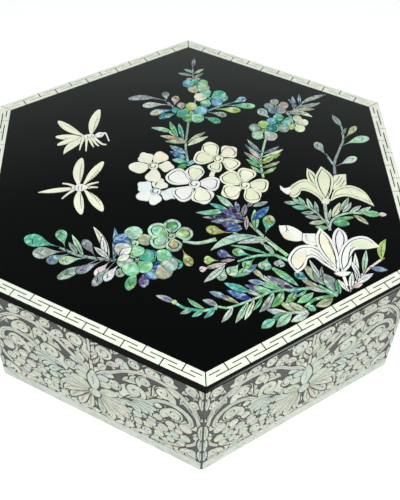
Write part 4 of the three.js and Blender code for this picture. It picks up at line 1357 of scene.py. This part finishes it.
picture.blossom(41, 41, [(41.5, 46.5, YELLOW_GREEN), (35.8, 43.5, MIST), (37, 36.5, PALE_MINT),
                         (45, 35.5, SILVER), (46, 43, SEA)], heart=1.7)
picture.tell()

# %% [markdown]
# ### Twigs and lily leaves at the right
#
# A grey twig with a few buds stands behind the cream lily, and a pink one grows from the edge in front.
# Short leaves in pale colours crowd round the cream lily's stem.

# %% Bud twig
picture.begin("lid_bud_twig")
picture.stem([(77.2, 3.6), (78.5, 13), (83, 24), (86.5, 33), (87, 47)], 1.6, 0.9, MIST)
picture.stem([(78, 10), (74.5, 20)], 1.3, 0.9, MIST)
picture.buds((75, 18, 70, 30, 5.2, MIST), (78.5, 10, 91.5, 17, 4.8, SILVER),
             (84, 26, 101.5, 33, 5.6, PALE_MINT, 1.4), (86.5, 32, 95.5, 43.5, 3.8, SAND))
picture.leaves((87, 44, 83, 54, 3.6, MIST), (86, 36, 89.5, 42, 2, MIST))
picture.tell()

# %% Pink twig
picture.begin("lid_pink_twig")
picture.stem([(72, -78.5), (78, -71), (84, -64.5), (93, -57.5)], 1.4, 1, BLUSH)
picture.leaf(92, -59, 96.5, -45, 4, YELLOW_GREEN, 1.5)
picture.stroke([(92.5, -52.5), (94, -53.5), (95.8, -53.2)], 0.5)
picture.leaves((85, -64, 93.5, -65.5, 3, STEEL), (75, -74, 86, -67.5, 3.4, LILAC),
               (77, -72, 79, -54, 2.8, PEARL), (81, -67.5, 85, -52, 2.8, PALE_MINT),
               (79, -70, 76, -59, 2.4, LILAC), (73, -77.5, 75.5, -66.5, 2.6, PEARL),
               (72, -78.5, 67.5, -71, 2.4, PEARL), (74, -76, 79.5, -74, 2.2, BLUSH))
picture.tell()

# %% Lily leaves
picture.begin("lid_lily_leaves")
picture.stem([(68.5, -18.5), (68, -28), (68.5, -38)], 1.8, 1.6, SILVER)
picture.leaves((67.8, -36.4, 61.2, -35.4, 2.8, MINT, 0.2), (67.2, -32, 58.2, -32.8, 3, SAND, 0.2),
               (65.2, -29, 56.8, -27.9, 2.8, MIST, 0.2), (62.4, -25.2, 55, -25.3, 2.4, MIST, 0.2),
               (59.4, -22, 50.8, -20.6, 3, MINT, 0.2), (53.8, -18.2, 46.8, -17.2, 2.5, MIST, 0.2),
               (56.4, -19.4, 51.4, -14.2, 2.2, MINT), (58, -20, 54.8, -13.8, 2.2, PALE_MINT),
               (61.6, -23.6, 59.3, -14.6, 2.4, PALE_MINT, 0.2), (64, -26.8, 63.4, -17.2, 2.4, MIST, 0.2),
               (69, -31, 71, -23, 1.5, IVORY), (71, -28.6, 76.6, -18.4, 3.8, PALE_GREEN, -0.4),
               (75.8, -24, 82, -14.6, 2.7, PALE_MINT, -0.3), (77, -25.4, 82.8, -18.4, 2.8, SILVER, -0.3),
               (80.6, -25.4, 87.6, -20.8, 2.6, SILVER, -0.3),
               (84.4, -26, 92.8, -21.9, 2.8, PALE_MINT, -0.4),
               (71.4, -30.4, 82.6, -29, 2.6, LEAF_GREEN, -0.4), (82.6, -27.6, 89.2, -34.2, 2.8, SAND, 0.3))
picture.stem([(68.2, -34.4), (65.4, -29.6), (63.2, -25.6), (60, -22), (56.4, -19), (52.6, -17.6)], 1.1, 0.8,
             MIST, 0.14)
picture.stem([(68.8, -35), (70.8, -31), (75.2, -27.6), (81, -26), (88.6, -26.6)], 1.3, 0.8, PALE_MINT, 0.14)
picture.leaves((87.6, -26.4, 97.4, -27.6, 4.2, MINT, 0.2), (95.6, -27.2, 100.2, -27.8, 2.6, BLUSH, 0.1))
picture.plate(picture.owner, blade(71, -32.8, 79.4, -33.6, 4.4, 0, 0.5, ROUND_ENDS), LEAF_GREEN)
picture.tell()

# %% [markdown]
# ### The lilies
#
# The lilies' petals are the largest plates. They droop and curl, so a blade can't give their shape: each one
# fills the space between two smooth edges that share their ends. It has a dark line close to its edge and
# a few finer strokes for the folds.

# %% White lily
picture.begin("lid_white_lily", WHITE_SHADING)
picture.form([(54.5, -44.5), (50, -45.2), (45, -43.5), (42.6, -39), (42.2, -34.4)],
             [(54.5, -44.5), (54.6, -41.5), (52, -37.6), (47.5, -34.6), (42.2, -34.4)], PEARL, line=0)
picture.plate(picture.owner, blade(49, -44, 43.6, -39, 5, 0, 0.5, ROUND_ENDS), IVORY, 0)
picture.stroke([(45.8, -34.2), (46.2, -37), (45.4, -38.6)], 0.5)
picture.stroke([(46.2, -37), (47.3, -38.4)], 0.45)
picture.cornered([(54, -40.2), (60.4, -40.4), (61.5, -48), (58, -48.4), (55, -47), (53.2, -44.6)], PEARL)
picture.stroke([(55.6, -40.6), (55.4, -42.6), (56.6, -44.2)], 0.4)
picture.stroke([(54.6, -43.5), (56.4, -45.6), (59.6, -46.6)], 0.4)
picture.form([(70, -62), (68.6, -52), (68.8, -44), (70.6, -39), (73, -36.4)],
             [(70, -62), (73.6, -53), (76.4, -45.5), (76, -40), (73, -36.4)], LILAC, line=1.4)
picture.stem([(70.5, -66), (71, -70), (71.6, -75)], 1.6, 1.4, PEARL)
picture.form([(69, -67.4), (62, -61), (58, -56.5), (54.6, -57.2), (52.6, -62.4), (48, -66.6)],
             [(69, -67.4), (63.4, -54), (58.4, -48.6), (50, -49.2), (44.4, -57.6), (48, -66.6)], PEARL,
             line=1.3)
picture.form([(54, -51.8), (49.4, -53.6), (46.8, -59), (48.4, -64)],
             [(54, -51.8), (54, -55.6), (51.4, -60.8), (48.4, -64)], PEACH, line=0, gap=0.1)
picture.form([(70.4, -67.4), (70, -58), (73.4, -49), (80, -43.4), (87, -43.4), (92.4, -50)],
             [(70.4, -67.4), (75.4, -62), (77.6, -54), (80.4, -51.4), (86, -51.2), (92.4, -50)], PEARL,
             line=1.3)
picture.plate(picture.owner, blade(77, -49.6, 90.6, -49.2, 5, 1.4), IVORY, 0.14)
picture.form([(69, -67.2), (63.2, -57), (60.4, -49), (60.6, -42), (63.4, -36.4)],
             [(69, -67.2), (70.2, -58), (69.6, -50), (67.6, -43), (63.4, -36.4)], WARM_PEARL, line=1.4,
             rim=PEARL)
picture.leaf(66.4, -66.8, 75, -66.4, 3, PEARL, -0.8, 0)
picture.stroke([(67.4, -65), (68.6, -63.4), (69.6, -65.2), (71.2, -63.4), (72.6, -64.8)], 0.3)
picture.stroke([(69, -60), (67.6, -52), (66.5, -46)], 0.3)
picture.stroke([(56.4, -51.6), (59.2, -53.4), (61.6, -57.2), (64.4, -61.6)], 0.45)
picture.stroke([(58.6, -50.6), (61.2, -53.4), (63.4, -57.4), (66, -61.4)], 0.4)
picture.stroke([(74, -61.6), (75.8, -57.4), (78.2, -53.4)], 0.4)
picture.tell()

# %% Cream lily
picture.begin("lid_cream_lily", WHITE_SHADING)
picture.form([(67.6, -12), (63, -4), (61.4, 2), (62.3, 8.6)],
             [(67.6, -12), (67, -2), (65.8, 4.6), (62.3, 8.6)], IVORY)
picture.cornered([(74, -8), (76.4, 2.4), (79.7, 3.2), (83.3, 3.4), (82.4, -4.4), (78, -9)], IVORY)
for x, y in ((79.6, 2.2), (81, 1), (82, -1)):
    picture.stroke([(x, y), (x - 2, y - 3.4), (x - 4.4, y - 6.2)], 0.4)
picture.form([(67, -17.8), (65.6, -14.2), (61.6, -10), (57.4, -8.6), (55.8, -11.6), (53, -14),
              (50.4, -12.6)], [(67, -17.8), (67.6, -9), (62, -1), (57.8, -0.8), (54, -3.2), (51, -6.6),
                               (50.4, -12.6)], IVORY)
picture.form([(51.6, -9), (49.4, -11.4), (46.2, -8), (45.8, -4.7)],
             [(51.6, -9), (51.2, -6.2), (48.2, -7), (45.8, -4.7)], PEARL, line=0, gap=0)
picture.form([(71.6, -17.2), (75, -9), (80.4, -5.8), (86, -6), (91.6, -11), (94.7, -21.2)],
             [(71.6, -17.2), (76.4, -14.3), (81, -13.4), (85.6, -15.2), (90, -17.8), (94.7, -21.2)], IVORY)
picture.plate(picture.owner, blade(82.4, -8.2, 92.8, -17.2, 4.4, 0.8), PALE_GREEN, 0.14)
picture.form([(69.2, -18.2), (66.2, -9), (65.4, -1), (67.2, 4.6), (70.4, 9.9)],
             [(69.2, -18.2), (73.4, -10), (75.8, -1), (74.6, 4.2), (70.4, 9.9)], IVORY, line=1.3)
picture.stroke([(73.6, -3), (72.6, -9), (71, -13.6)], 0.4)
picture.form([(66.8, -18), (67.4, -16), (69, -15), (71.8, -15.8)],
             [(66.8, -18), (68, -19), (70.4, -19), (71.8, -15.8)], IVORY, line=0)
picture.tell()

# %% [markdown]
# ### The white blossoms
#
# Five large blossoms of plain white shell lie in the middle. Their petals nearly touch, with a thin dark
# line between them, and a spiral is cut into each heart.

# %% White blossoms
picture.begin("lid_blossom_west", WHITE_SHADING)
picture.petal(-22.6, 5, -18.4, -5.6, 7.6, OYSTER, wavy=0.3)
picture.blossom(-22.8, 12, [(-31.6, 11, OYSTER), (-27.2, 18.8, OYSTER), (-18.8, 19.2, PEACH),
                            (-15.4, 11.4, OYSTER), (-22.8, 3.6, OYSTER)], heart=2.8, wide=1.04, edge=0.36,
                wavy=0.5)
picture.begin("lid_blossom_south_west", WHITE_SHADING)
picture.blossom(-21.5, -8, [(-27.8, -4, COOL_PEARL), (-28, -11.4, PEARL), (-22.2, -14.4, PEARL),
                            (-14.6, -10.4, COOL_PEARL), (-18.4, -3, OYSTER)], heart=2.6, wide=1.1, edge=0.3,
                wavy=0.5)
picture.petal(-18, -8, -8, -10, 8.4, COOL_PEARL, wavy=0.4)
picture.begin("lid_blossom_north", WHITE_SHADING)
picture.stem([(11, 9), (9.5, 5), (8.5, 1)], 2.2, 3, IVORY)
picture.blossom(13.5, 17.2, [(9.2, 25.8, WARM_PEARL), (20, 23.2, PEACH), (4.2, 18.1, PALE_GREEN),
                             (11.5, 10.4, PALE_GREEN), (20.8, 12.6, WARM_PEARL)], heart=2.9, line=1.1,
                edge=0.2, rim=WARM_PEARL, wavy=0.45)
picture.begin("lid_blossom_east", WHITE_SHADING)
picture.blossom(26.8, -4.2, [(28.2, 4.8, WARM_PEARL), (35.6, -4.2, IVORY), (30.4, -12.6, PALE_GREEN),
                             (18.6, -9.2, WARM_PEARL), (18.8, 1.8, PALE_GREEN)], heart=2.9, line=1.1,
                edge=0.2, rim=WARM_PEARL, wavy=0.45)
picture.begin("lid_blossom_centre", WHITE_SHADING)
picture.blossom(-0.5, -2.5, [(0.1, 7, IVORY), (-10.2, 3.2, PEARL), (-7.2, -10.2, PEARL),
                             (3.6, -12.2, WARM_PEARL), (8.8, -2.4, LILAC)], heart=3.1, line=1.2, edge=0.2,
                rim=PEARL, wavy=0.45)
picture.tell()

# %% [markdown]
# ### The insects
#
# Two long-winged insects fly at the left. Their wings are slim blades of white shell with short strokes
# along the hind edge.

# %% Wings and the upper insect
VEIN_LINE = 0.28
WING_LINE = 0.42
WING_STROKES = 7
WING_ENDS = (1.0, 0.5)


def wing(x0, y0, x1, y1, width, bow, side, belly=0.55):
    """A wing with a long vein and short strokes along one edge."""
    picture.petal(x0, y0, x1, y1, width * 0.9, WARM_PEARL, bow, belly, WING_ENDS, gap=0.3)
    base, way = Vector((x0, y0)), Vector((x1 - x0, y1 - y0))
    across = Vector((-way.y, way.x)).normalized() * side
    bend = across * side
    picture.stroke([base + way * s + across * width * 0.16 + bend * 4 * bow * s * (1 - s)
                    for s in (0.2, 0.5, 0.8)], VEIN_LINE)
    for k in range(WING_STROKES):
        s = 0.2 + k * 0.075
        near = base + way * s + bend * 4 * bow * s * (1 - s)
        far = near + across * width * 0.48 - way.normalized() * 0.8
        picture.stroke([near + across * width * 0.14, far], WING_LINE)


picture.begin("lid_upper_insect", WHITE_SHADING)
wing(-61, 37, -78, 51, 5.4, 1, -1, 0.62)
wing(-58.5, 37, -54.5, 61, 6.2, 0.8, -1)
wing(-62.5, 36.5, -78.5, 37, 4.6, 0, 1)
wing(-62.5, 35.5, -77, 30, 3.8, -1, 1)
picture.leaves((-61.5, 34.5, -73, 22.5, 4.4, WARM_PEARL, -2), (-66, 34.5, -54.5, 38, 5, PEARL))
for bar in range(3):
    picture.stroke([(-62.5 + bar * 2.2, 37.6 + bar * 0.4), (-62 + bar * 2.2, 33.8 + bar * 0.6)], 0.35)
picture.leaf(-56.5, 37, -50.5, 40, 4, PEARL, 0, 0)
picture.bare(disc(-52.6, 38.7, 0.5, 8))
picture.stem([(-52.5, 39), (-50.2, 39.8), (-48, 33.2)], 1, 0.7, PEARL)
for hip, toe, down in ((-62.5, -64.2, 25.8), (-60.8, -60.6, 24.8), (-59.5, -56.5, 28.2), (-58, -53.6, 29),
                       (-56.5, -49.4, 30)):
    picture.stem([(hip, 36), (hip * 0.4 + toe * 0.6, 31), (toe, down)], 1.7, 0.6, WARM_PEARL)
picture.tell()

# %% Lower insect
picture.begin("lid_lower_insect", WHITE_SHADING)
wing(-63, -4, -62.5, 19, 6.4, 1.2, -1)
wing(-61.5, -3.5, -50.5, 16, 5.2, 0, -1, 0.6)
wing(-62.5, -5, -60.5, -24, 5.8, -1, 1)
wing(-61, -5, -49.5, -22, 5.8, 0.6, 1, 0.6)
picture.leaf(-64, -4.5, -84.5, -7.5, 3, WARM_PEARL)
for x0, y0, x1, y1 in ((-65, -3.5, -72, -0.8), (-65, -5.5, -71.5, -12.5), (-60, -3.5, -52.5, -0.2),
                       (-60, -5, -52.8, -4.2)):
    picture.stem([(x0, y0), ((x0 + x1) / 2, (y0 + y1) / 2 + 0.5), (x1, y1)], 1.5, 0.6, WARM_PEARL)
picture.leaf(-67, -4.5, -57.5, -4, 5.2, PEARL)
for bar in range(3):
    picture.stroke([(-65 + bar * 1.8, -2.4), (-65 + bar * 1.8, -6.4)], 0.35)
picture.tell()

# %% [markdown]
# ### Laying the picture
#
# Whatever reaches past the black field is cut off along the border. The stack is then triangulated once,
# and each flower, spray and insect becomes a mesh that takes the place of its plain plate.

# %% Lay the picture
WHITE_PIECES = {"lid_white_lily", "lid_blossom_west", "lid_blossom_south_west", "lid_blossom_north",
                "lid_blossom_east", "lid_blossom_centre", "lid_upper_insect", "lid_lower_insect"}
BLUE_PIECES = {"lid_middle_spray"}
GREY_PIECES = {"lid_bud_twig", "lid_pink_twig"}
STRIP_HALF = 70
STRIP_DEPTH = 20


def trim_field():
    """Bare strips along the six sides of the black field."""
    edge = (FIELD_APOTHEM - INLAY_GAP) / PICTURE_STEP
    strip = box_outline(-STRIP_HALF, -edge - STRIP_DEPTH, STRIP_HALF, -edge)
    for side in range(1, SIDES + 1):
        picture.bare([Vector(turned_to(side, *corner)) for corner in strip])


def finish_of(owner):
    if owner in WHITE_PIECES:
        return white_shell, "white_shell"
    if owner in BLUE_PIECES:
        return blue_shell, "blue_shell"
    if owner in GREY_PIECES:
        return abalone_grey, "grey_shell"
    if owner == "lid_cream_lily":
        return cream_shell, "cream_shell"
    return green_shell, "green_shell"


def on_lid(x, y, z):
    return Vector((x * PICTURE_STEP, y * PICTURE_STEP, LID_TOP + z)) * MM


def lay_picture():
    trim_field()
    points, owned = picture.cut()
    total = 0
    for owner, triangles in owned.items():
        piece = raise_plates(owner.replace("lid_", "inlay_"), points, triangles, on_lid, LID_SHELL)
        material, slot = finish_of(owner)
        piece.data.materials.append(material)
        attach(piece, "root")
        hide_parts(owner)
        total += len(piece.data.polygons)
    print("picture:", len(picture.layers), "outlines,", len(owned), "pieces,", total, "faces")


lay_picture()
